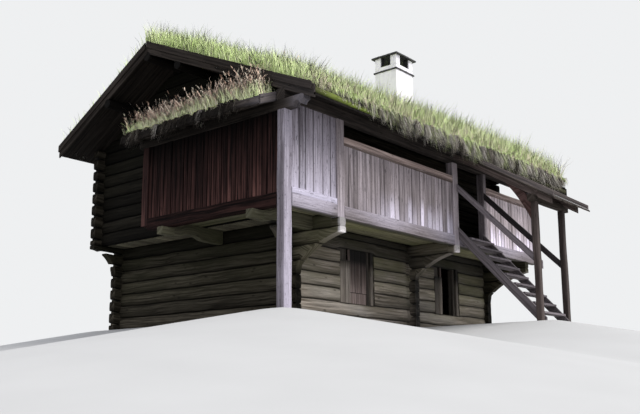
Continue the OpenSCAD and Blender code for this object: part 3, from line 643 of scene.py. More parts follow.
def bracket_line(tip, foot, radius):
    """Underside of a gable's upper logs, an arc from the sill down to the wall."""
    z0, z1 = SILL[0].z - tip, SILL[0].z - foot
    chord = math.hypot(TOE_Y, z1 - z0)
    drop = math.sqrt(radius ** 2 - (chord / 2) ** 2) / chord
    cy, cz = TOE_Y / 2 - drop * (z0 - z1), (z0 + z1) / 2 - drop * TOE_Y
    return lambda y: np.where(y <= 0, z0, np.where(y < TOE_Y, cz + dome(y, cy, radius), UNDER_ALL))


def sill_line(y):
    """The gables' top logs stop under the sill beam."""
    return np.where(y < POST_D, SILL[0].z, OVER_ALL)


def gable_mark(line, side, toe, pale_lit_tip):
    """Painted shade deepening towards the top and a painted shadow on the log ends under the bracket's foot;
    side is painted light on the bracket where it stands out in front; the bracket's underside is pale, and
    its tip pale with bleach and painted light.
    """
    def mark(s, across, z):
        k = np.clip(z / STOREY, 0, 1)
        out = np.clip((FRONT_OUT - s) / 0.4, 0, 1) * (z > 1.0)
        under = np.clip(1 - (z - line(s)) / 0.022, 0, 1) * (s < TOE_Y) * rising(z, 1.4, 0.3)
        tip = pale_lit_tip * np.clip(1 - s / 0.05, 0, 1) * (z > 1.5)
        foot_shadow = (s < FRONT_OUT + 0.02) & (z < SILL[0].z - toe + 0.02)
        # Painted light on the bracket in front of the wall, painted shade deepening up the wall, and a
        # painted shadow (0.3) on the log ends under the foot
        shade = np.where(out > 0, side * (0.5 + 0.5 * out), 1.0 - 0.83 * k)
        shade = np.where(foot_shadow, 0.3, shade + 0.9 * under + 0.9 * tip)
        return marks(shade, 0.3 * under + 0.7 * tip + 0.1 * (1 - k), 0.45 * k * (1 - under) * (1 - tip))
    return mark


# Each bracket: depth below the sill at its tip and at its foot, radius as a share of the gallery's depth
SIDE_BRACKET, CROSS_BRACKET = (0.31, 0.89, 1.9), (0.18, 0.69, 1.7)
# side is painted light on each bracket's front, bright on the left gable and painted shade elsewhere; the
# right gable's bracket, in shade behind the stair, loses its pale tip
for name, x, (tip, foot, bend), material, side, pale_lit_tip in (
        ("ground_left_gable", GX1, SIDE_BRACKET, OLD_LOGS, 1.5, 1.0),
        ("ground_cross_wall", CX, CROSS_BRACKET, FRONT_LOGS, 0.72, 1.0),
        ("ground_right_gable", GX2, SIDE_BRACKET, OLD_LOGS, 0.7, 0.0)):
    piece = Shape()
    line = bracket_line(tip, foot, bend * FRONT_OUT)
    log_wall(piece, "y", x, -0.03, BACK_OUT + LOG_END, 0, STOREY, 0, name, (NO_CORNER, BACK_OUT),
             gable_mark(line, side, foot, pale_lit_tip), line, [(-0.03, TOE_Y)], sill_line, step=0.2,
             bare=lambda s: np.clip((0.1 - s) / 0.06, 0, 1), least=0.006)
    finish_piece(piece, name + "_logs", material, "old_logs", name)


def console_line(x):
    """Underside of the top logs of a front or back wall, which run out to the upper gables."""
    z = STOREY - 0.1 - JETTY
    right = np.where(x > LONG1 - JETTY, z + dome(x, LONG1, JETTY), UNDER_ALL)
    return np.where(x < LONG0 + JETTY, z + dome(x, LONG0, JETTY), right)


def front_mark(s, across, z):
    """The front logs carry painted light, brightest at the left and dimmer to the right, and painted shade
    near black under the gallery floor; they are bleached at the foot and mossy at the top.
    """
    k = np.clip(z / STOREY, 0, 1)
    patch = patchy(s, z)
    shade = (1.7 - 0.082 * s) * (1 - 0.9 * rising(k, 0.45, 0.55))
    return marks(shade, 0.5 * (1 - k) * patch, np.clip(0.75 * k + 0.04 * s, 0, 1) * (0.4 + 0.6 * patch))


door_cuts = [(x - JAMB_L, x + w + JAMB_R, DOOR_Z, DOOR_TOP) for x, w in DOORS]
for name, y, key, material, slot, nodes, more in (
        ("back", BY, "ground_back", OLD_LOGS, "old_logs", ["ground_back_wall"],
         {"mark": dusk(0, STOREY, 0.9, 0.5, 0.15, 0.3)}),
        ("front", FY, "ground_front", FRONT_LOGS, "front_logs", ["ground_front_wall", "doorway_logs"],
         {"mark": front_mark, "cuts": door_cuts, "step": 0.16, "dents": [(CX - 0.31, CX - HT, 0.075)]})):
    piece = Shape()
    log_wall(piece, "x", y, LONG0, LONG1, 0, STOREY, -LOG_H / 2, key, (GX1 - HT, GX2 + HT),
             low_line=console_line, fine=[(LONG0, LONG0 + JETTY), (LONG1 - JETTY, LONG1)], **more)
    finish_piece(piece, f"ground_{name}_wall_logs", material, slot, *nodes)

piece = Shape()
for n, x in enumerate((UX1, UX2)):
    log_wall(piece, "y", x, FRONT_OUT - LOG_END, BACK_OUT + LOG_END, STOREY, RIDGE_Z, 0, ("upper_gable", n),
             (FRONT_OUT, BACK_OUT), dusk(STOREY, RIDGE_Z, 0.17, 0.06, green=0.6),
             high_line=lambda y: np.minimum(front_z(y), back_z(y)) - 0.004)
finish_piece(piece, "upper_gable_logs", OLD_LOGS, "old_logs", "upper_gables")

upper_cuts = [(x, x + w, UPPER_SILL, UPPER_LINTEL) for x, w in DOORS]
for name, y, top, cuts in (("upper_back_wall", BY, back_z(BACK_OUT), ()),
                           ("upper_front_wall", FY, front_z(FRONT_OUT), upper_cuts)):
    piece = Shape()
    log_wall(piece, "x", y, LONG0, LONG1, STOREY, top, -LOG_H / 2, name, (UP_L, UP_R),
             dusk(STOREY, top, 0.6, 0.4), cuts=cuts)
    finish_piece(piece, name + "_logs", OLD_LOGS, "old_logs", name)


# DOORS

def jamb_mark(painted_light):
    """Pale at the foot, with painted shade near black under the gallery floor; the brightness factor is
    painted light for each plank.
    """
    def mark(px, py, z):
        k = rising(z, 1.2, 0.22)
        return marks(2.4 - 2.1 * k, 0.25 * (1 - k), 0.1 * k) * painted_light
    return mark


piece = Shape()
FACE = FRONT_OUT - 0.015
for n, (x, w) in enumerate(DOORS):
    split = x - JAMB_L * 0.46
    # Painted light on the jamb planks: the plank by the door lighter, the second door's planks in painted
    # shade
    for m, (a, b, out) in enumerate(((x - JAMB_L, split, 0.01), (split, x, 0.0))):
        upright(piece, a + 0.003, b - 0.003, FACE + out, FRONT_IN, DOOR_Z, DOOR_Z + JAMB_H, ("jamb", n, m),
                mark=jamb_mark((0.75 + 0.35 * m) * (1 - 0.66 * n)), seam=0.35, step=0.07)
    # The left jamb's set-back top and the rebate get painted shade (0.25); the right jamb post is dimmed
    # with painted shade, more at the second door
    for key, x0, x1, y0, z0, mark, step in (
            ("jamb_top", x - JAMB_L, x, FY, DOOR_Z + JAMB_H, (0.25, 0, 0), 0.35),
            ("rebate", x + w, x + w + JAMB_R, FACE + 0.06, DOOR_Z, (0.25, 0, 0), 0.35),
            ("jamb_r", x + w + 0.075, x + w + 0.185, FACE, DOOR_Z, jamb_mark(0.4 - 0.15 * n), 0.07)):
        upright(piece, x0, x1, y0, FRONT_IN, z0, DOOR_TOP, (key, n), mark=mark, step=step)
finish_piece(piece, "door_jamb_planks", FRONT_LOGS, "front_logs", "door_jambs")

LEAF_T, LEAF_GAP, PIN_R, PIN_L = 0.05, 0.008, 0.02, 0.04
STILE_R = LEAF_T / 2 + 0.007
LEAF_BACK, LEAF_FACE, FOOT_H = -LEAF_T / 2, LEAF_T / 2 - 0.005, 0.245
PIVOT_Y = (box("left_door")[0].y + box("left_door")[1].y) / 2


def leaf_piece(name, body, x, w, turn, painted_light):
    """A plank door on its pin: two tall boards over a low cross board, with painted shade near black at its
    top under the gallery and a brightness factor of painted light.
    """
    z0, z1 = DOOR_Z + LEAF_GAP, DOOR_TOP - LEAF_GAP
    end = w - 2 * LEAF_GAP - STILE_R

    # Painted shade that deepens upwards to near black under the gallery; the foot is bleached
    def mark(px, py, z):
        k = rising(z, 0.75, 0.5)
        return marks(painted_light * (0.95 - 0.6 * k) * (1 - 0.92 * rising(z, 1.3, 0.14)), 0.2 * painted_light * (1 - k))
    leaf = Shape()
    fence(leaf, "x", -0.02, end, LEAF_BACK, LEAF_FACE, z0 + FOOT_H + 0.012, z1, name, (0.17, 0.25),
          mark=mark, seam=0.5, step=0.06)
    upright(leaf, 0.0, end, LEAF_BACK + 0.012, LEAF_FACE, z0, z0 + FOOT_H, (name, "foot"), mark=mark)
    t = np.linspace(0, 2 * np.pi, 17)[:-1]
    for lo, hi, r in ((z0, z1, STILE_R), (DOOR_Z - PIN_L, z0, PIN_R), (z1, DOOR_TOP + PIN_L, PIN_R)):
        z = np.array([[lo], [hi]])
        leaf.rings(points(r * np.cos(t), r * np.sin(t), z), points(z, t * r, 3.0), (0.6, 0, 0), 0.4)
    spin = np.array(Matrix.Rotation(turn, 3, "Z"))
    leaf.v = [v @ spin.T + np.array([x + LEAF_GAP + STILE_R, PIVOT_Y, 0]) for v in leaf.v]
    finish_piece(leaf, name + "_leaf", RAIL_WOOD, "dark_boards", name, body=body)


# The open right leaf is dimmed with painted shade (0.35)
leaf_piece("left_door", "left_leaf", *DOORS[0], 0.0, 0.84)
leaf_piece("right_door", "right_leaf", *DOORS[1], math.radians(80), 0.35)

piece = Shape()
for n, (x, w) in enumerate(DOORS):
    fence(piece, "x", x, x + w, FY, FY + 0.045, UPPER_SILL, UPPER_LINTEL, ("upper_door", n))
finish_piece(piece, "upper_door_boards", DARK, "dark_boards", "upper_doors")


# FLOORS

def under_mark(shade):
    """Mossy patches on wood that is seen from below, at a given level of painted light: raised under the
    front gallery, painted shade under the side gallery and on the joists.
    """
    return lambda s, across, z: marks(shade, 0, 0.25 + 0.45 * (0.5 + 0.5 * np.sin(1.3 * s + 5 * across)))


piece = Shape()
IN_FRONT, BESIDE = FRONT_OUT - LOG_END - 0.01, LONG0 - 0.02
for axis, s0, s1, a, b, shade, key, widths in (
        ("x", POST_W, UP_R, POST_D, IN_FRONT, 1.3, "floor_f", (0.18, 0.26)),
        ("x", UP_L_IN + 0.01, UP_R_IN - 0.01, IN_FRONT, FRONT_OUT, 1.3, "floor_g", (0.09, 0.11)),
        ("y", FRONT_OUT - LOG_END, SIDE_L - POST_D, POST_D, BESIDE, 0.6, "floor_s", (0.18, 0.24)),
        ("y", FRONT_IN + 0.01, SIDE_L - POST_D, BESIDE, UP_L, 0.6, "floor_t", (0.09, 0.12))):
    planks(piece, axis, s0, s1, a, b, STOREY, FLOOR_TOP, key, widths, mark=under_mark(shade), step=0.8)
finish_piece(piece, "gallery_floor_boards", FLOOR_WOOD, "inner_wood", "gallery_floor")

JOIST_ARC_X, JOIST_ARC_R = 0.7, 0.68


def joist_low(s):
    """Underside of a side joist, hollowed to an arc."""
    hollow = np.where(np.abs(s - JOIST_ARC_X) < JOIST_ARC_R,
                      STOREY - LOG_H - 0.6 + dome(s, JOIST_ARC_X, JOIST_ARC_R), 0)
    return np.maximum(STOREY - LOG_H, hollow)


piece = Shape()
for n, y in enumerate((FY - 0.6, SIDE_L - 0.82)):
    for a, b, top in ((box("gallery_joists")[0].x, POST_D, SILL[0].z), (POST_D, GX1 - HT, STOREY)):
        beam(piece, "x", a, b, y - HT + 0.005, y + HT - 0.005, joist_low, top, ("joist", n, a), rough=0.012,
             mark=under_mark(0.5), step=0.06)
finish_piece(piece, "gallery_joist_timbers", FLOOR_WOOD, "inner_wood", "gallery_joists")


def around_chimney(x0, x1):
    """The four strips of a room's floor around the chimney."""
    return [(x0, x1, FRONT_IN, CH0.y), (x0, CH0.x, CH0.y, CH1.y), (CH1.x, x1, CH0.y, CH1.y),
            (x0, x1, CH1.y, BACK_IN)]


piece = Shape()
strips = around_chimney(UP_L_IN, UP_R_IN)
for k, start in ((0, FRONT_IN), (3, CH1.y), (1, UP_L_IN), (2, CH1.x)):
    planks(piece, "x", *strips[k], STOREY, FLOOR_TOP, ("upper_floor", start), (0.2, 0.3), step=2.5)
finish_piece(piece, "upper_floor_boards", FLOOR_WOOD, "inner_wood", "upper_floor")

GROUND_LOW, GROUND_TOP = (corner.z for corner in box("ground_floor"))
ROOMS = (GX1 + HT, CX - HT), (CX + HT, GX2 - HT)
floor, sleepers = Shape(), Shape()
for room, strips in enumerate(([(*ROOMS[0], FRONT_IN, BACK_IN)], around_chimney(*ROOMS[1]))):
    for k, strip in enumerate(strips):
        planks(floor, "x", *strip, GROUND_LOW, GROUND_TOP, ("gf", room, k), (0.2, 0.3), step=2.5)
    for k in (0, 0.58, 1):
        y = FRONT_IN + k * (BY - FY - 4 * HT)
        beam(sleepers, "x", *ROOMS[room], y, y + 2 * HT, 0, GROUND_LOW, ("sleeper", ROOMS[room][0], k))
finish_piece(floor, "ground_floor_boards", FLOOR_WOOD, "inner_wood", "ground_floor")
finish_piece(sleepers, "floor_sleeper_logs", FLOOR_WOOD, "inner_wood", "floor_sleepers")


# GALLERY

def corner_post_mark(px, py, z):
    """The front face is bleached and lifted with painted light; the left face stays brown, in painted shade.
    """
    front = np.clip((0.02 - py) / 0.01, 0, 1)
    low = np.clip(1 - z / 3.2, 0, 1)
    return marks(0.52 + 0.46 * front + 0.1 * low, 0.25 * front + 0.2 * low * front)


def post_mark(px, py, z):
    """A little paler at the foot; painted shade on the faces behind the front face."""
    return marks(1.45 - 0.1 * (z - 2) - 0.5 * (py > 0.02), 0.12 + 0.25 * np.clip(2.7 - z, 0, 1))


piece = Shape()
upright(piece, 0, POST_W, 0, POST_D, 0, box("corner_post")[1].z, "corner", rough=0.006, chamfer=0.02,
        mark=corner_post_mark, step=0.2)
finish_piece(piece, "corner_post_timber", PALE, "pale_boards", "corner_post")

piece = Shape()
for n, (a, b) in enumerate(POSTS):
    upright(piece, a, b, 0, POST_D, SILL[0].z if n < 2 else SILL[1].z, PLATE[0].z, ("post", n), rough=0.005,
            chamfer=0.015, mark=post_mark)
finish_piece(piece, "gallery_post_timbers", GREY, "post_wood", "gallery_posts")


def sill_mark(s, across, z):
    """The front face is bleached in patches, most left of the first post, and the other faces are in painted
    shade; the underside is mossy.
    """
    k = rising(z, SILL[0].z, 0.26)
    front = np.clip((0.03 - across) / 0.02, 0, 1)
    bleach = 0.05 + 0.3 * k + 0.3 * (0.5 + 0.5 * np.sin(2.3 * s)) + 0.22 * (s < POSTS[0][0])
    return marks(0.55 + 0.33 * front, front * bleach, 0.7 * (1 - front) * (1 - k))


tarred = Shape()
# The rear post darkens upwards with painted shade under the side roof
upright(tarred, 0, POST_D, SIDE_L - POST_D, SIDE_L, SILL[0].z + 0.1, SIDE_PLATE[0].z, "rear_post",
        rough=0.005, mark=lambda px, py, z: marks(1.0 - 0.4 * (z - 2), 0.1))
beam(tarred, "y", POST_D, SIDE_L - POST_D, 0, POST_D, SILL[0].z, SILL[1].z, "side_sill", rough=0.006,
     mark=(0.42, 0, 0))
finish_piece(tarred, "tarred_sill_and_post", DARK, "dark_boards")
piece = Shape()
for n, (a, b) in enumerate(((POST_W, POSTS[0][0]), (POSTS[0][1], POSTS[1][0]), (POSTS[1][1], POSTS[3][1]))):
    beam(piece, "x", a, b, 0, POST_D, SILL[0].z, SILL[1].z, ("sill", n), rough=0.006, mark=sill_mark)
finish_piece(piece, "sill_beam_timbers", GREY, "post_wood", "sill_beams")


def corner_mark(px, py, z):
    """Bleached towards the foot."""
    k = rising(z, SILL[1].z, 1.9)
    edge = np.clip((SILL[1].z + 0.2 - z) / 0.15, 0, 1)
    return marks(0.97 - 0.25 * k, 0.52 * (1 - k) ** 1.5 + 0.1 * edge)


def side_mark(px, py, z):
    """Painted shade: near black under the eave, and darker towards the back."""
    k = rising(z, SILL[1].z, 1.7)
    return marks((1.3 - 0.13 * py) * (0.85 - 0.83 * k ** 0.6), 0.04 * (1 - k))


piece = Shape()
fence(piece, "x", POST_W, POSTS[0][0], BOARD_IN, BOARD_IN + BOARD_T, SILL[1].z, PLATE[0].z, "corner_boards",
      (0.17, 0.27), (0, 0.008), mark=corner_mark, seam=0.5)
beam(piece, "x", POST_W + 0.005, POSTS[0][0] - 0.005, BOARD_IN - 0.022, BOARD_IN - 0.001, SILL[1].z - 0.03,
     SILL[1].z + 0.12, "corner_foot", mark=(1.0, 0.75, 0))
finish_piece(piece, "corner_boards_silver", PALE, "pale_boards")

piece = Shape()
fence(piece, "y", POST_D, SIDE_L - POST_D, BOARD_IN, BOARD_IN + BOARD_T, SILL[1].z, SIDE_PLATE[0].z,
      "side_boards", (0.1, 0.17), (-0.004, 0.01), gap=0.007, mark=side_mark, rough=0.004, seam=0.6)
fence(piece, "x", POST_D, UP_L, SIDE_L - 0.1 - BOARD_T, SIDE_L - 0.1, FLOOR_TOP, SIDE_PLATE[0].z, "side_end",
      (0.14, 0.2), mark=side_mark)
fence(piece, "y", POST_D, FRONT_OUT - LOG_END, UP_R - BOARD_T, UP_R, FLOOR_TOP, RAIL[0].z, "right_end",
      (0.14, 0.2), mark=side_mark)
finish_piece(piece, "gallery_boards_tarred", DARK, "dark_boards", "gallery_boards")


def parapet_mark(key, painted_light):
    """A bleached foot, with a tone and a length of its own for each board; painted light brightens the top,
    and the brightness factor is painted light for the whole run.
    """
    rng = random.Random(str(key))
    grow, extra, tone = rng.uniform(0.2, 1.5), rng.uniform(-0.1, 0.12), rng.uniform(0.85, 1.12)

    def mark(px, py, z):
        k = rising(z, SILL[1].z, 1.35)
        bleach = 0.95 * np.clip(1 - 1.9 * k, 0, 1) * np.clip((px - 2.7) / 1.2, 0.2, 1)
        return marks((1.1 + 0.5 * k ** 2) * (tone * painted_light), np.clip(bleach * grow + extra, 0, 1))
    return mark


parapets, rails = Shape(), Shape()
# The right parapet run is lifted with painted light (1.95)
for n, k in enumerate((0, 2)):
    a, b = POSTS[k][1], POSTS[k + 1][0]
    boards(a, b, lambda p, q, key, rng: upright(
        parapets, p, q, BOARD_IN + rng.uniform(-0.004, 0.008), BOARD_IN + BOARD_T, SILL[1].z, RAIL[0].z, key,
        mark=parapet_mark(key, 1 + 0.95 * n), twist=rng.uniform(-0.003, 0.003), seam=0.3), ("parapet", n),
        (0.12, 0.21), 0.006)
    beam(rails, "x", a, b, 0.01, 0.11, RAIL[0].z, RAIL[1].z, ("rail", n), mark=(1.45, 0.12, 0))
    beam(rails, "x", a, b, 0.014, BOARD_IN, RAIL[0].z - 0.055, RAIL[0].z - 0.012, ("batten", n), rough=0.002,
         mark=(1.0, 0.05, 0))
beam(rails, "y", POST_D, FRONT_OUT - LOG_END, UP_R - 0.1, UP_R, RAIL[0].z, RAIL[1].z, "rail_end")
finish_piece(parapets, "parapet_boards", GREY, "post_wood", "parapets")
finish_piece(rails, "parapet_rail_timbers", RAIL_WOOD, "post_wood", "parapet_rails")

# ROOF TIMBERS

piece = Shape()
beam(piece, "x", PLATE[0].x, VERGE_R, 0, POST_D, PLATE[0].z, PLATE[0].z + 0.235, "front_plate", rough=0.006,
     mark=(1.3, 0.1, 0))
finish_piece(piece, "front_plate_timber", ROOF_WOOD, "roof_wood", "front_plate")

NOSE_Y, NOTCH_R, NOTCH_STEP = SIDE_PLATE[0].y, 0.09, 0.19
s = np.concatenate([np.linspace(NOSE_Y, 0, 40), np.linspace(0.3, SIDE_PLATE[1].y, 16)])
notches = np.maximum(dome(s, NOSE_Y, NOTCH_R), dome(s, NOSE_Y + NOTCH_STEP, NOTCH_R))
piece = Shape()
run(piece, "y", s, 0.1, 0.1, SIDE_PLATE[0].z + notches, SIDE_PLATE[1].z, squared(0.1), "side_plate",
    lambda s, across, z: marks(0.35 + 0.8 * np.clip(0.5 - s * 2, 0, 1), 0.35 * np.clip(0.3 - s * 2, 0, 1)))
finish_piece(piece, "side_plate_timber", ROOF_WOOD, "roof_wood", "side_plate")

PURLIN_R, PURLIN_SEAT = 0.11, 0.012
front_y, back_y = CH1.y + PURLIN_R + 0.15, (RIDGE_Y + BY) / 2
s = stations(0, VERGE_R, 0.4)
piece = Shape()
for n, (y, z, pitch) in enumerate(((front_y, front_z(front_y), FRONT_PITCH), (RIDGE_Y, RIDGE_Z, FRONT_PITCH),
                                   (back_y, back_z(back_y), BACK_PITCH))):
    mid = z - PURLIN_R * math.sqrt(1 + pitch ** 2) + PURLIN_SEAT - 0.006
    # Purlins are darkened with painted shade (0.13) under the roof
    run(piece, "x", s, y + LOG_SWAY * wave(("purlin", n), s), PURLIN_R - 0.003, mid - PURLIN_R,
        mid + PURLIN_R, ROUND, ("purlin", n), (0.13, 0, 0))
finish_piece(piece, "purlin_logs", ROOF_WOOD, "roof_wood", "purlins")


def deck_board(shape, line, spans, a, b, key):
    """One roof board, in two lengths where the chimney stands, darkened with painted shade (0.3) as seen
    from below.
    """
    for y0, y1 in spans:
        beam(shape, "y", y0, y1, a, b, line, raised(line, DECK_T), key, rough=0.002, mark=(0.3, 0, 0),
             step=1.2)


for side, line, y0, y1 in (("front", front_z, EAVE_F, RIDGE_Y), ("back", back_z, RIDGE_Y, EAVE_B)):
    piece = Shape()
    split = [(y0, CH0.y), (CH1.y, y1)]
    boards(0, VERGE_R, lambda a, b, key, rng: deck_board(
        piece, line, split if side == "front" and a < CH1.x and b > CH0.x else [(y0, y1)], a, b, key),
        f"deck_{side}_boards", (0.16, 0.26))
    finish_piece(piece, f"deck_{side}_boards", ROOF_WOOD, "roof_wood", f"deck_{side}")


def moss_mark(s, across, z):
    """Bright moss on the eave log near the corner."""
    near = np.clip(1 - np.abs(s - 1.3) / 1.3, 0, 1)
    return marks(1.2 + near, 0, 0.15 + 0.95 * near)


piece = Shape()
s = stations(0.04, VERGE_R - 0.04, 0.3)
for n, (y, line, mark) in enumerate(((EAVE_F, front_z, moss_mark), (EAVE_B - TURF_LOG, back_z, (1, 0, 0)))):
    mid = y + TURF_LOG / 2
    base = line(mid) + DECK_T
    run(piece, "x", s, mid + LOG_SWAY * wave(("eave", n), s), TURF_LOG / 2, base - 0.01, base + TURF_LOG,
        ROUND, ("eave", n), mark)
finish_piece(piece, "eave_logs", ROOF_WOOD, "roof_wood", "turf_logs")


def barge_mark(shade):
    """A little greyer at the front eave, dark towards the ridge."""
    def mark(s, across, z):
        near = np.clip(1 - s / 2.2, 0, 1)
        return marks(shade * (0.55 + 0.25 * near), 0.12 * near)
    return mark


BARGE_T, BARGE_H, CAP_BOARD_T = 0.04, 0.18, 0.036
piece = Shape()
for n, (x, cap_x) in enumerate(((0, -0.038), (VERGE_R - BARGE_T, VERGE_R + 0.002))):
    for m, (a, b, line) in enumerate(((EAVE_F, RIDGE_Y, front_z), (RIDGE_Y, EAVE_B, back_z))):
        beam(piece, "y", a, b, x, x + BARGE_T, raised(line, -0.05), raised(line, BARGE_H + 0.04),
             ("barge", n, m), rough=0.003, mark=barge_mark(1.1))
        beam(piece, "y", a + 0.05, b, cap_x, cap_x + CAP_BOARD_T, raised(line, 0.09),
             raised(line, BARGE_H + 0.075), ("barge_top", n, m), rough=0.003, mark=barge_mark(1.5))
finish_piece(piece, "barge_board_pairs", ROOF_WOOD, "roof_wood", "barge_boards")

# SIDE ROOF

SIDE_FREE, SIDE_EDGE_L, SIDE_EDGE_H = FRONT_IN + 0.03, 0.72, 0.195
side_top = raised(side_z, SIDE_DECK_T)
piece = Shape()
planks(piece, "x", SIDE_X0, SIDE_X1, SIDE_FREE, SIDE_Y1, side_z, side_top, "side_deck", (0.14, 0.22), 0.03,
       rough=0.002, step=0.6)
planks(piece, "x", SIDE_X0, BESIDE, SIDE_Y0, SIDE_FREE, side_z, side_top, "side_deck_front", (0.14, 0.22),
       rough=0.002, step=0.6)
beam(piece, "x", SIDE_X0, SIDE_X0 + SIDE_EDGE_L, SIDE_Y0 - SIDE_EDGE_T, SIDE_Y0, side_z,
     raised(side_z, SIDE_EDGE_H), "side_edge", mark=(2.0, 0.2, 0))
beam(piece, "y", SIDE_Y0 - 0.02, SIDE_Y1 + 0.02, SIDE_X0 - 0.05, SIDE_X0 + 0.06, side_z(SIDE_X0) + 0.02,
     side_z(SIDE_X0) + 0.17, "side_eave_log", rough=0.012, step=0.15,
     mark=lambda s, across, z: marks(0.3 + 1.3 * np.clip(1.2 - s, 0, 1), 0.25 * np.clip(1.2 - s, 0, 1)))
finish_piece(piece, "side_roof_boards", ROOF_WOOD, "roof_wood", "side_roof_deck")


# TURF

def swell(x):
    """How much the front turf thickens towards the right."""
    return 0.17 * rising(x, 2, 7)


def side_limit(x, y):
    """Keeps the side turf under the front slope's boards."""
    top = side_z(x) + 0.22
    return np.minimum(top, np.where(y < RIDGE_Y, front_z(y) - 0.01, top))


def turf_sheet(name, node, material, xs, ys, low, high, key, hole=False, rough=0.035):
    """An uneven mass of turf: a lumpy top and ragged sides down to a flat foot, left open below."""
    x, y = np.meshgrid(xs, ys, indexing="ij")
    edge = np.minimum(np.minimum(x - xs[0], xs[-1] - x), np.minimum(y - ys[0], ys[-1] - y))
    soft = np.clip(edge / 0.12, 0, 1) ** 0.5
    top = low(x, y) + (high(x, y) - low(x, y)) * (0.45 + 0.55 * soft) + rough * lumps(x, y, key) * soft
    faces, border = sheet_faces(x)
    if hole:
        cx = (x[:-1, :-1] + x[1:, 1:]).ravel() / 2
        cy = (y[:-1, :-1] + y[1:, 1:]).ravel() / 2
        faces = faces[~((cx > CH0.x) & (cx < CH1.x) & (cy > CH0.y) & (cy < CH1.y))]
    verts = points(x, y, top).reshape(-1, 3)
    shape = Shape()
    shape.add(verts, faces, verts, marks(1.0, 0, (1 - soft).ravel() * 0.8))
    rim = verts[border]
    shape.skirt(rim, points(rim[:, 0], rim[:, 1], low(rim[:, 0], rim[:, 1])), (0.8, 0, 0.85))
    finish_piece(shape, name, material, "turf", node)


turf_sheet("turf_front_sod", "turf_front", TURF, step_line(0.04, VERGE_R - 0.04, 0.085),
           step_line(EAVE_F + TURF_LOG, RIDGE_Y, 0.085), lambda x, y: front_z(y) + DECK_T,
           lambda x, y: front_z(y) + DECK_T + TURF_T + swell(x), "front", hole=True)
turf_sheet("turf_back_sod", "turf_back", TURF, step_line(0.04, VERGE_R - 0.04, 0.12),
           step_line(RIDGE_Y, EAVE_B - TURF_LOG, 0.12), lambda x, y: back_z(y) + DECK_T,
           lambda x, y: back_z(y) + DECK_T + TURF_T, "back")
turf_sheet("side_roof_sod", "side_roof_turf", SIDE_TURF, step_line(SIDE_X0 + 0.02, UP_L - 0.005, 0.06),
           step_line(SIDE_Y0, SIDE_Y1, 0.07), lambda x, y: side_z(x) + SIDE_DECK_T, side_limit, "side",
           rough=0.05)


# GRASS

def blades(shape, base, height, lean, droop, width, tint, root_light, tip):
    """Three-triangle blades; lean is the sideways way of each blade, droop how far its tip falls; the root
    and tip factors are painted light and shade.
    """
    n = len(base)
    turn = np.random.default_rng(n).uniform(0, 2 * np.pi, n)
    across = points(np.cos(turn), np.sin(turn)) * width[:, None] / 2
    up = np.array([0, 0, 1.0])
    mid = base + up * (height * 0.55)[:, None] + lean * 0.38
    top = base + up * (height - droop)[:, None] + lean
    waist = across * 0.75
    verts = np.stack([base - across, base + across, mid + waist, mid - waist, top], 1).reshape(-1, 3)
    k = np.arange(n)[:, None] * 5
    faces = np.vstack([k + [0, 1, 2, 3], k + [3, 2, 4, 4]])
    shape.add(verts, faces, verts, marks(np.tile([root_light, root_light, (root_light + tip) / 2, (root_light + tip) / 2, tip], n)),
              np.repeat(tint, 5))


def meadow(name, count, x0, x1, y0, y1, surface, seed, tall, material=GREEN, hole=False, fall=(0, -0.04),
           tint=(0.5, 0.17), root_light=1.15, edge=None, heads=0, grow=0.0):
    """Grass on a slope, in tufts of their own height and colour; near the edge it is shorter and deader."""
    rng = np.random.default_rng(seed)
    x, y = rng.uniform(x0, x1, count), rng.uniform(y0, y1, count)
    if hole:
        keep = ~((x > CH0.x - 0.03) & (x < CH1.x + 0.03) & (y > CH0.y - 0.03) & (y < CH1.y + 0.03))
        x, y = x[keep], y[keep]
    n = len(x)
    base = points(x, y, surface(x, y))
    height = tall * (0.35 + 0.65 * rng.random(n) ** 1.6) * (1 + 0.4 * lumps(x, y, (name, "h"), 2.2))
    lean = np.clip(rng.normal(0, 0.3, (n, 3)), -0.5, 0.5) * height[:, None]
    lean[:, 2] = 0
    lean[:, :2] += fall
    colour = tint[0] + tint[1] * rng.normal(0, 1, n) + 0.2 * lumps(x, y, (name, "c"), 0.9)
    if edge is not None:
        from_edge = np.abs(y - edge)
        height = height * (1 + 1.8 * swell(x))
        colour = colour + 0.6 * (np.clip(1 - from_edge / 0.55, 0, 1) * (rng.random(n) < 0.55))
        height = height * (1 - 0.35 * np.clip(1 - from_edge / 0.35, 0, 1))
    height = height * (1 + grow * np.clip(1 - (y - y0) / 2.4, 0, 1))
    colour = np.clip(colour, 0, 1)
    shape = Shape()
    wide = rng.uniform(0.008, 0.016, n) * (0.5 if heads else 1)
    blades(shape, base - np.array([0, 0, 0.03]), height, lean, height * 0.12, wide, colour, root_light, 1.25)
    for k in range(heads):
        up = rng.uniform(0.6, 0.95, n)
        at = base + np.array([0, 0, 1.0]) * (height * up * 0.88)[:, None] + lean * (up ** 1.5)[:, None]
        small = rng.uniform(0.05, 0.11, n)
        spread = rng.normal(0, 0.45, (n, 3)) * [1, 1, 0] * small[:, None] + 0.2 * lean
        blades(shape, at, small, spread, small * 0.2, rng.uniform(0.01, 0.019, n), colour, 1.2, 1.4)
    finish_piece(shape, name, material, "turf", smooth=False)


def top_front(x, y):
    return front_z(y) + DECK_T + TURF_T * 0.98 + swell(x)


def top_back(x, y):
    return back_z(y) + DECK_T + TURF_T * 0.98


def top_side(x, y):
    return side_limit(x, y) - 0.02


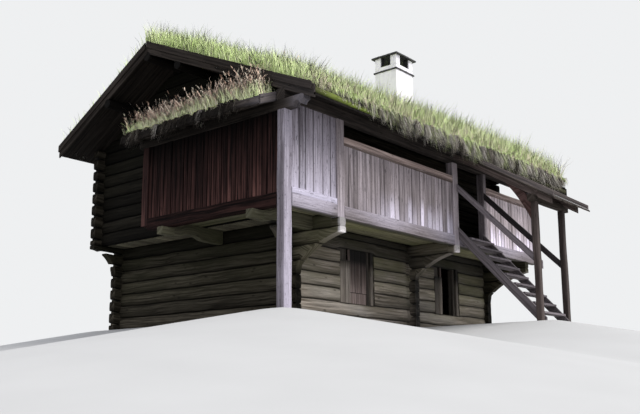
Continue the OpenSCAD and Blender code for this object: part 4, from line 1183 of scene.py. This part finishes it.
third = VERGE_R / 3
for n, (a, b) in enumerate(((0.05, third), (third, 2 * third), (2 * third, VERGE_R - 0.05))):
    meadow(f"grass_front_{n}", 36000, a, b, EAVE_F + 0.05, RIDGE_Y + 0.2, top_front, 11 + n, 0.66, hole=True,
           edge=EAVE_F)
meadow("grass_chimney_foot", 3600, CH0.x - 0.7, CH1.x + 0.9, CH0.y - 1.1, CH0.y, top_front, 17, 0.95)
meadow("grass_back", 26000, 0.05, VERGE_R - 0.05, RIDGE_Y, EAVE_B - 0.12, top_back, 21, 0.45, fall=(0, 0.04))
# The side grass is lifted with painted light at the root (1.9), against the main roof's shade
meadow("grass_side", 16000, SIDE_X0 + 0.05, UP_L, SIDE_Y0 + 0.05, SIDE_Y1, top_side, 31, 0.44,
       tint=(0.78, 0.16), fall=(-0.02, 0), root_light=1.9)


def fringe(name, count, along, base_of, out, seed, length, material, tint, full=lambda s: 1.0, root_light=0.55,
           tuft=0.04):
    """Dead grass that hangs over an eave in tufts of uneven length."""
    rng = np.random.default_rng(seed)
    tufts = int((along[1] - along[0]) / tuft)
    centre, size = rng.uniform(*along, tufts), rng.uniform(0.3, 1.25, tufts)
    sway, hue = rng.normal(0, 0.3, tufts), rng.normal(0, tint[1], tufts)
    pick = rng.integers(0, tufts, count)
    s = np.clip(centre[pick] + rng.normal(0, 0.4 * tuft, count), *along)
    base = base_of(s, rng)
    long = length * size[pick] * rng.uniform(0.45, 1.0, count) * full(s)
    outward = np.array(out, float) * rng.uniform(0.2, 0.6, count)[:, None]
    sideways = np.abs([out[1], out[0], 0]) * (sway[pick] + rng.normal(0, 0.1, count))[:, None]
    droop, width = rng.uniform(0.7, 1.35, count) * long, rng.uniform(0.007, 0.015, count)
    colour = np.clip(tint[0] + hue[pick] + 0.1 * rng.normal(0, 1, count), 0, 1)
    shape = Shape()
    blades(shape, base, 0.2 * long, (outward + sideways) * long[:, None], droop, width, colour, root_light, 1.0)
    finish_piece(shape, name, material, "turf", smooth=False)


def front_full(s):
    """The fringe grows longer from the corner to the right, and stops before the end."""
    return np.clip((s - 0.6) / 2.8, 0.06, 1) * np.clip((VERGE_R - s) / 0.9, 0.25, 1)


fringe("straw_front", 32000, (0.3, VERGE_R - 0.05), lambda s, rng: points(
    s, EAVE_F + rng.uniform(-0.02, 0.16, len(s)),
    top_front(s, EAVE_F + 0.12) - rng.uniform(0.03, 0.2, len(s))),
    (0, -1, 0), 41, 0.38, STRAW, (0.6, 0.34), front_full, root_light=0.85)
fringe("grass_front_lip", 13000, (0.05, VERGE_R - 0.05), lambda s, rng: points(
    s, EAVE_F + rng.uniform(0.0, 0.2, len(s)),
    top_front(s, EAVE_F + 0.15) - rng.uniform(-0.04, 0.04, len(s))),
    (0, -1, 0), 45, 0.25, GREEN, (0.7, 0.28), root_light=0.9, tuft=0.05)
fringe("straw_back", 9000, (0.1, VERGE_R - 0.1), lambda s, rng: points(
    s, EAVE_B - rng.uniform(0.05, 0.3, len(s)), top_back(s, EAVE_B - 0.12) - 0.05),
    (0, 1, 0), 42, 0.24, STRAW, (0.5, 0.2), tuft=0.05)
# The side fringe hangs in painted shade (0.2 at the root)
fringe("straw_side", 14000, (SIDE_Y0 + 0.6, SIDE_Y1), lambda s, rng: points(
    SIDE_X0 + rng.uniform(-0.02, 0.2, len(s)), s, side_z(SIDE_X0) + rng.uniform(0.1, 0.24, len(s))),
    (-1, 0, 0), 43, 0.26, STRAW, (0.0, 0.3), root_light=0.2)
meadow("seed_heads_side", 2600, SIDE_X0 + 0.12, UP_L, SIDE_Y0 + 0.06, SIDE_Y1, top_side, 44, 0.62, RED_STRAW,
       fall=(-0.03, 0.05), tint=(0.5, 0.2), root_light=0.5, heads=5, grow=0.5)


# PORCH AND STAIR

def porch_post_mark(px, py, z):
    # Painted shade under the porch roof, darker behind the front face; the front face a little bleached
    front = py < PORCH[0].y + 0.02
    return marks(0.35 - 0.03 * z - 0.08 * (py > PORCH[0].y + 0.02), 0.15 * front)


RAFTER_H, RAFTER_HALF = 0.16, 0.06
rafter_under = raised(porch_z, -RAFTER_H)


def rafter_low(s):
    """Underside of a rafter, notched over the porch beam."""
    over = (s > PORCH_BEAM[0].y - 0.004) & (s < PORCH_BEAM[1].y + 0.004)
    return np.where(over, np.maximum(rafter_under(s), PORCH_BEAM[1].z), rafter_under(s))


posts, rafters = Shape(), Shape()
for n, x in enumerate((STAIR_L, STAIR_R)):
    upright(posts, x - PORCH_HALF, x + PORCH_HALF, PORCH[0].y, PORCH[1].y, 0, PORCH[1].z, ("porch_post", n),
            rough=0.006, chamfer=0.015, mark=porch_post_mark)
    s = stations(box("porch_rafters")[0].y, 0, 0.1)
    s = np.unique(np.concatenate([s, [PORCH_BEAM[0].y, PORCH_BEAM[1].y]]))
    top = np.minimum(porch_z(s), front_z(s) - 0.006)
    keep = top - rafter_low(s) > 0.02
    run(rafters, "y", s[keep], x, RAFTER_HALF, rafter_low(s)[keep], top[keep], squared(RAFTER_HALF),
        ("rafter", n), (0.45, 0.1, 0))
finish_piece(posts, "porch_post_timbers", RAIL_WOOD, "post_wood", "porch_posts")
piece = Shape()
beam(piece, "x", PORCH_BEAM[0].x, PORCH_BEAM[1].x, PORCH_BEAM[0].y, PORCH_BEAM[1].y, PORCH_BEAM[0].z,
     PORCH_BEAM[1].z, "porch_beam", rough=0.006)
finish_piece(piece, "porch_beam_timber", ROOF_WOOD, "roof_wood", "porch_beam")
finish_piece(rafters, "porch_rafter_timbers", RAIL_WOOD, "post_wood", "porch_rafters")

PORCH_EDGE_T = 0.04
PR0, PR1 = box("porch_roof")
piece = Shape()
planks(piece, "y", PR0.y, PR1.y, PR0.x, PR1.x, raised(porch_z, 0.001), raised(porch_z, 0.04), "porch_roof",
       (0.18, 0.28), 0.05, rough=0.003, step=0.4, mark=(1.1, 0.05, 0))
for n, x in enumerate((PR0.x, PR1.x - PORCH_EDGE_T)):
    beam(piece, "y", PR0.y + 0.06, PR1.y - 0.17, x, x + PORCH_EDGE_T, raised(porch_z, 0.044),
         raised(porch_z, 0.155), ("porch_edge", n), rough=0.003, mark=(3.0, 0.15, 0))
finish_piece(piece, "porch_roof_boards", ROOF_WOOD, "roof_wood", "porch_roof")

# The knee brace: its inner edge is an arc, its outer edge straight up to the rafter
BRACE = box("knee_brace")
BRACE_FOOT, BRACE_TIP, BRACE_BOW, BRACE_HALF = 0.47, 0.03, 0.04, 0.03
y0, y1, low = BRACE[0].y, BRACE[1].y, BRACE[0].z
rise, span = rafter_under(y1) - low, y1 - y0
radius = (math.hypot(span, rise) - 2 * BRACE_TIP) ** 2 / (8 * BRACE_BOW) + BRACE_BOW / 2
turn = math.atan2(rise, span)
cy = (y0 + y1) / 2 - math.sin(turn) * (BRACE_BOW - radius)
cz = (low + rafter_under(y1)) / 2 + math.cos(turn) * (BRACE_BOW - radius)
outer_rise = rafter_under(y1 - BRACE_FOOT) - low - BRACE_FOOT
s = stations(y0, y1, 0.02)
under = np.maximum(low + rise * (s - y0) / span, cz + dome(s, cy, radius))
over = np.minimum(low + BRACE_FOOT + outer_rise * (s - y0) / (span - BRACE_FOOT), rafter_under(s))
keep = over - under > 0.008
piece = Shape()
run(piece, "y", s[keep], STAIR_L, BRACE_HALF, under[keep], over[keep], squared(BRACE_HALF), "brace",
    (0.8, 0.05, 0))
finish_piece(piece, "knee_brace_timber", RED, "dark_boards", "knee_brace")

STRINGERS, TREADS, HANDRAILS = box("stair_stringers"), box("stair_treads"), box("handrails")
RISES, TREAD_RUN, TREAD_DEPTH, TREAD_T = 9, 0.225, 0.25, 0.05
STRINGER_H, PLANK_T, HANDRAIL_H = 0.3, 0.06, 0.19
RISE = FLOOR_TOP / RISES
s = stations(STRINGERS[0].y, 0, 0.1)
slope = STRINGERS[1].z + RISE / TREAD_RUN * s
top, under = np.maximum(slope, 0.0), np.maximum(slope - STRINGER_H, 0.0)
worn = top - 0.012 * np.sin(2 * np.pi * s / TREAD_RUN) ** 2
keep = top - under > 0.02
piece = Shape()
for n, x in enumerate((STRINGERS[0].x, STRINGERS[1].x - PLANK_T)):
    run(piece, "y", s[keep], x + PLANK_T / 2, PLANK_T / 2, under[keep], worn[keep], squared(PLANK_T / 2),
        ("stringer", n), (0.55, 0.15, 0))
finish_piece(piece, "stair_stringer_planks", GREY, "post_wood", "stair_stringers")

piece = Shape()
for k in range(RISES):
    nose, z = TREADS[1].y - TREAD_DEPTH - TREAD_RUN * k, FLOOR_TOP - RISE * k
    beam(piece, "x", TREADS[0].x, TREADS[1].x, nose, nose + TREAD_DEPTH, z - TREAD_T, z, ("tread", k),
         rough=0.005, mark=(0.75, 0.2, 0))
finish_piece(piece, "stair_tread_planks", GREY, "inner_wood", "stair_treads")

piece = Shape()
# The second handrail is darkened with painted shade (0.2)
for n, (x, y0, mark) in enumerate(((HANDRAILS[0].x, HANDRAILS[0].y, (0.72, 0.2, 0)),
                                   (HANDRAILS[1].x - PLANK_T, PORCH[1].y, (0.2, 0, 0)))):
    beam(piece, "y", y0, 0, x, x + PLANK_T, lambda s: HANDRAILS[1].z + s - HANDRAIL_H,
         lambda s: HANDRAILS[1].z + s, ("hand", n), rough=0.005, mark=mark)
finish_piece(piece, "handrail_planks", GREY, "post_wood", "handrails")


# CHIMNEY

def masonry(shape, x0, x1, y0, y1, z0, z1, key, step=0.09, mark=(1, 0, 0), top=1.0):
    """A block of rough limewashed stonework; top is the shade of its upper face."""
    for axis, a0, a1, fixed, sign in (("x", x0, x1, y0, -1), ("x", x0, x1, y1, 1), ("y", y0, y1, x0, -1),
                                      ("y", y0, y1, x1, 1)):
        rows = step_line(z0, z1, min(step, (z1 - z0) / 2))
        s, z = np.meshgrid(step_line(a0, a1, step), rows, indexing="ij")
        edge = np.minimum(s - a0, a1 - s)
        inner = edge > 1e-6
        bump = 0.006 * lumps(s * 3, z * 3, (key, axis, sign), 1.5) - 0.012 * np.exp(-edge / 0.02)
        out = fixed + sign * np.where(inner, bump, -0.008)
        side = s + np.where(inner, 0, np.where(s > (a0 + a1) / 2, -0.008, 0.008))
        pts = (points(side, out, z) if axis == "x" else points(out, side, z)).reshape(-1, 3)
        faces = sheet_faces(s)[0]
        if (axis == "x") == (sign > 0):
            faces = faces[:, ::-1]
        shape.add(pts, faces, pts, mark(pts) if callable(mark) else mark)
    for z, face, shade in ((z1, [0, 1, 2, 3], top), (z0, [3, 2, 1, 0], 1)):
        pts = np.array([[x0, y0, z], [x1, y0, z], [x1, y1, z], [x0, y1, z]])
        shape.add(pts, [face], pts, (shade, 0, 0))


def chimney_mark(pts):
    """Green where the shaft leaves the turf."""
    lift = pts[:, 2] - (front_z(pts[:, 1]) + DECK_T + TURF_T)
    return marks(1.0, 0, np.clip(1 - lift / 0.45, 0, 1) * 0.8)


def soot_mark(pts):
    """Soot on all that faces the flue."""
    depth = np.minimum(np.minimum(pts[:, 0] - CH0.x, CH1.x - pts[:, 0]),
                       np.minimum(pts[:, 1] - CH0.y, CH1.y - pts[:, 1]))
    return marks(np.clip(1 - (depth - 0.012) / 0.03, 0.03, 1))


COLLAR_Z, SLATE_T, HEAD_H, PIER, RIM = box("chimney_slates")[0].z, 0.04, 0.4, 0.21, 0.12
HEAD_Z = COLLAR_Z + SLATE_T
piece = Shape()
masonry(piece, CH0.x, CH1.x, CH0.y, CH1.y, 0, COLLAR_Z, "shaft", mark=chimney_mark)
masonry(piece, CH0.x, CH1.x, CH0.y, CH1.y, HEAD_Z, HEAD_Z + RIM, "rim", step=0.06, top=0.1)
for a in (CH0.x, CH1.x - PIER):
    for b in (CH0.y, CH1.y - PIER):
        masonry(piece, a, a + PIER, b, b + PIER, HEAD_Z + RIM, HEAD_Z + HEAD_H, ("pier", a, b), step=0.05,
                mark=soot_mark)
finish_piece(piece, "chimney_masonry", LIME, "lime_wash", "chimney")

piece = Shape()
for key, over, z, rise, ragged in (("collar", 0.03, COLLAR_Z, 0.0, 0.012),
                                   ("cap", 0.085, HEAD_Z + HEAD_H, 0.05, 0.05)):
    # A slate slab: flat below, slightly raised in the middle, with a ragged edge
    x0, x1, y0, y1 = CH0.x - over, CH1.x + over, CH0.y - over, CH1.y + over
    u, v = np.meshgrid(np.linspace(-1, 1, 25), np.linspace(-1, 1, 25), indexing="ij")
    rim = np.maximum(np.abs(u), np.abs(v))
    pull = 1 - ragged * (0.5 + 0.5 * lumps(u * 5, v * 5, key)) * rim
    x, y = (x0 + x1) / 2 + (x1 - x0) / 2 * u * pull, (y0 + y1) / 2 + (y1 - y0) / 2 * v * pull
    top = z + SLATE_T + rise * (1 - rim ** 1.6) + 0.006 * lumps(u * 7, v * 7, (key, 1))
    upper = points(x, y, top).reshape(-1, 3)
    under = points(x, y, z + rise * 0.35 * (1 - rim)).reshape(-1, 3)
    faces, border = sheet_faces(u)
    piece.add(upper, faces, upper)
    piece.add(under, faces[:, ::-1], under)
    piece.skirt(upper[border], under[border])
finish_piece(piece, "chimney_slate_slabs", SLATE, "slate", "chimney_slates")


# STAGE: a pale floor that falls away from the building, since the photo is taken from below it

STAGE_X, STAGE_Y, STAGE_SLOPE, STAGE_BEND = 5.4, 2.6, 0.19, 0.15


def stage_floor():
    """Level under the walls, the stair and the corner post; rings of points around the middle."""
    level = [(GX1 - 0.3, GX2 + 0.3, FY - 0.4, BY + 0.5), (-0.02, 0.3, -0.02, 0.25),
             (STAIR_L - 0.15, STAIR_R + 0.2, PORCH[0].y - 0.25, FY)]
    radii = np.concatenate([[0], np.linspace(0.5, 12, 93), np.geomspace(12.4, 90, 26)])
    r, t = np.meshgrid(radii, np.linspace(0, 2 * np.pi, 181)[:-1], indexing="ij")
    x, y = STAGE_X + r * np.cos(t), STAGE_Y + r * np.sin(t)
    away = np.full(x.shape, 1e9)
    for x0, x1, y0, y1 in level:
        dx, dy = np.maximum(np.maximum(x0 - x, x - x1), 0), np.maximum(np.maximum(y0 - y, y - y1), 0)
        away = np.minimum(away, np.hypot(dx, dy))
    z = -STAGE_SLOPE * (np.hypot(away, STAGE_BEND) - STAGE_BEND)
    verts = points(x, y, z).reshape(-1, 3) + np.array(ORIGIN)
    faces = tube_faces(*r.shape)[:, [0, 3, 2, 1]]
    mesh = bpy.data.meshes.new("floor")
    mesh.from_pydata(verts.tolist(), [], faces.tolist())
    mesh.polygons.foreach_set("use_smooth", np.full(len(faces), True))
    g = graph_of("floor_paint")
    coords = g.new("ShaderNodeTexCoord").outputs["Object"]
    paint = g.mix(g.noise(coords, 0.7, 4, 0.5), (0.46, 0.46, 0.455), (0.52, 0.52, 0.515))
    mesh.materials.append(g.surface(paint, None, 0.95))
    link("floor", mesh)


stage_floor()
sun = bpy.data.lights.new("sun", "SUN")
sun.energy, sun.angle, sun.color = 2.7, math.radians(35), (1.0, 0.98, 0.95)
link("sun", sun).rotation_euler = [math.radians(v) for v in (42, 0, 28)]

# The sky lights the building in one colour and is seen in another
scene.world = bpy.data.worlds.new("world")
g = Graph(scene.world)
lighting = g.tree.nodes["Background"]
g.put(lighting, "Color", (0.89, 0.91, 0.97, 1))
g.put(lighting, "Strength", 1.0)
seen = g.made("ShaderNodeBackground", 0, {"Color": (0.86, 0.87, 0.88, 1), "Strength": 1.0})
camera_ray = g.new("ShaderNodeLightPath").outputs["Is Camera Ray"]
sky = g.made("ShaderNodeMixShader", 0, {0: camera_ray, 1: lighting.outputs[0], 2: seen})
g.put(g.tree.nodes["World Output"], 0, sky)

# CAMERA: the photo's, below and left of the front corner

CAMERA_AT = (-16.846, -12.981, -1.472)
YAW, PITCH, ROLL = math.radians(40.05), math.radians(11.213), math.radians(-0.262)
camera = bpy.data.cameras.new("camera")
camera.sensor_width = 36
camera.lens = 46.83
camera.shift_y = 0.0255
camera.clip_end = 400
scene.camera = link("camera", camera)
look = Vector((math.cos(YAW) * math.cos(PITCH), math.sin(YAW) * math.cos(PITCH), math.sin(PITCH)))
turned = look.to_track_quat("-Z", "Y").to_matrix().to_4x4() @ Matrix.Rotation(ROLL, 4, "Z")
scene.camera.matrix_world = Matrix.Translation(CAMERA_AT) @ turned

scene.view_settings.view_transform = "Standard"
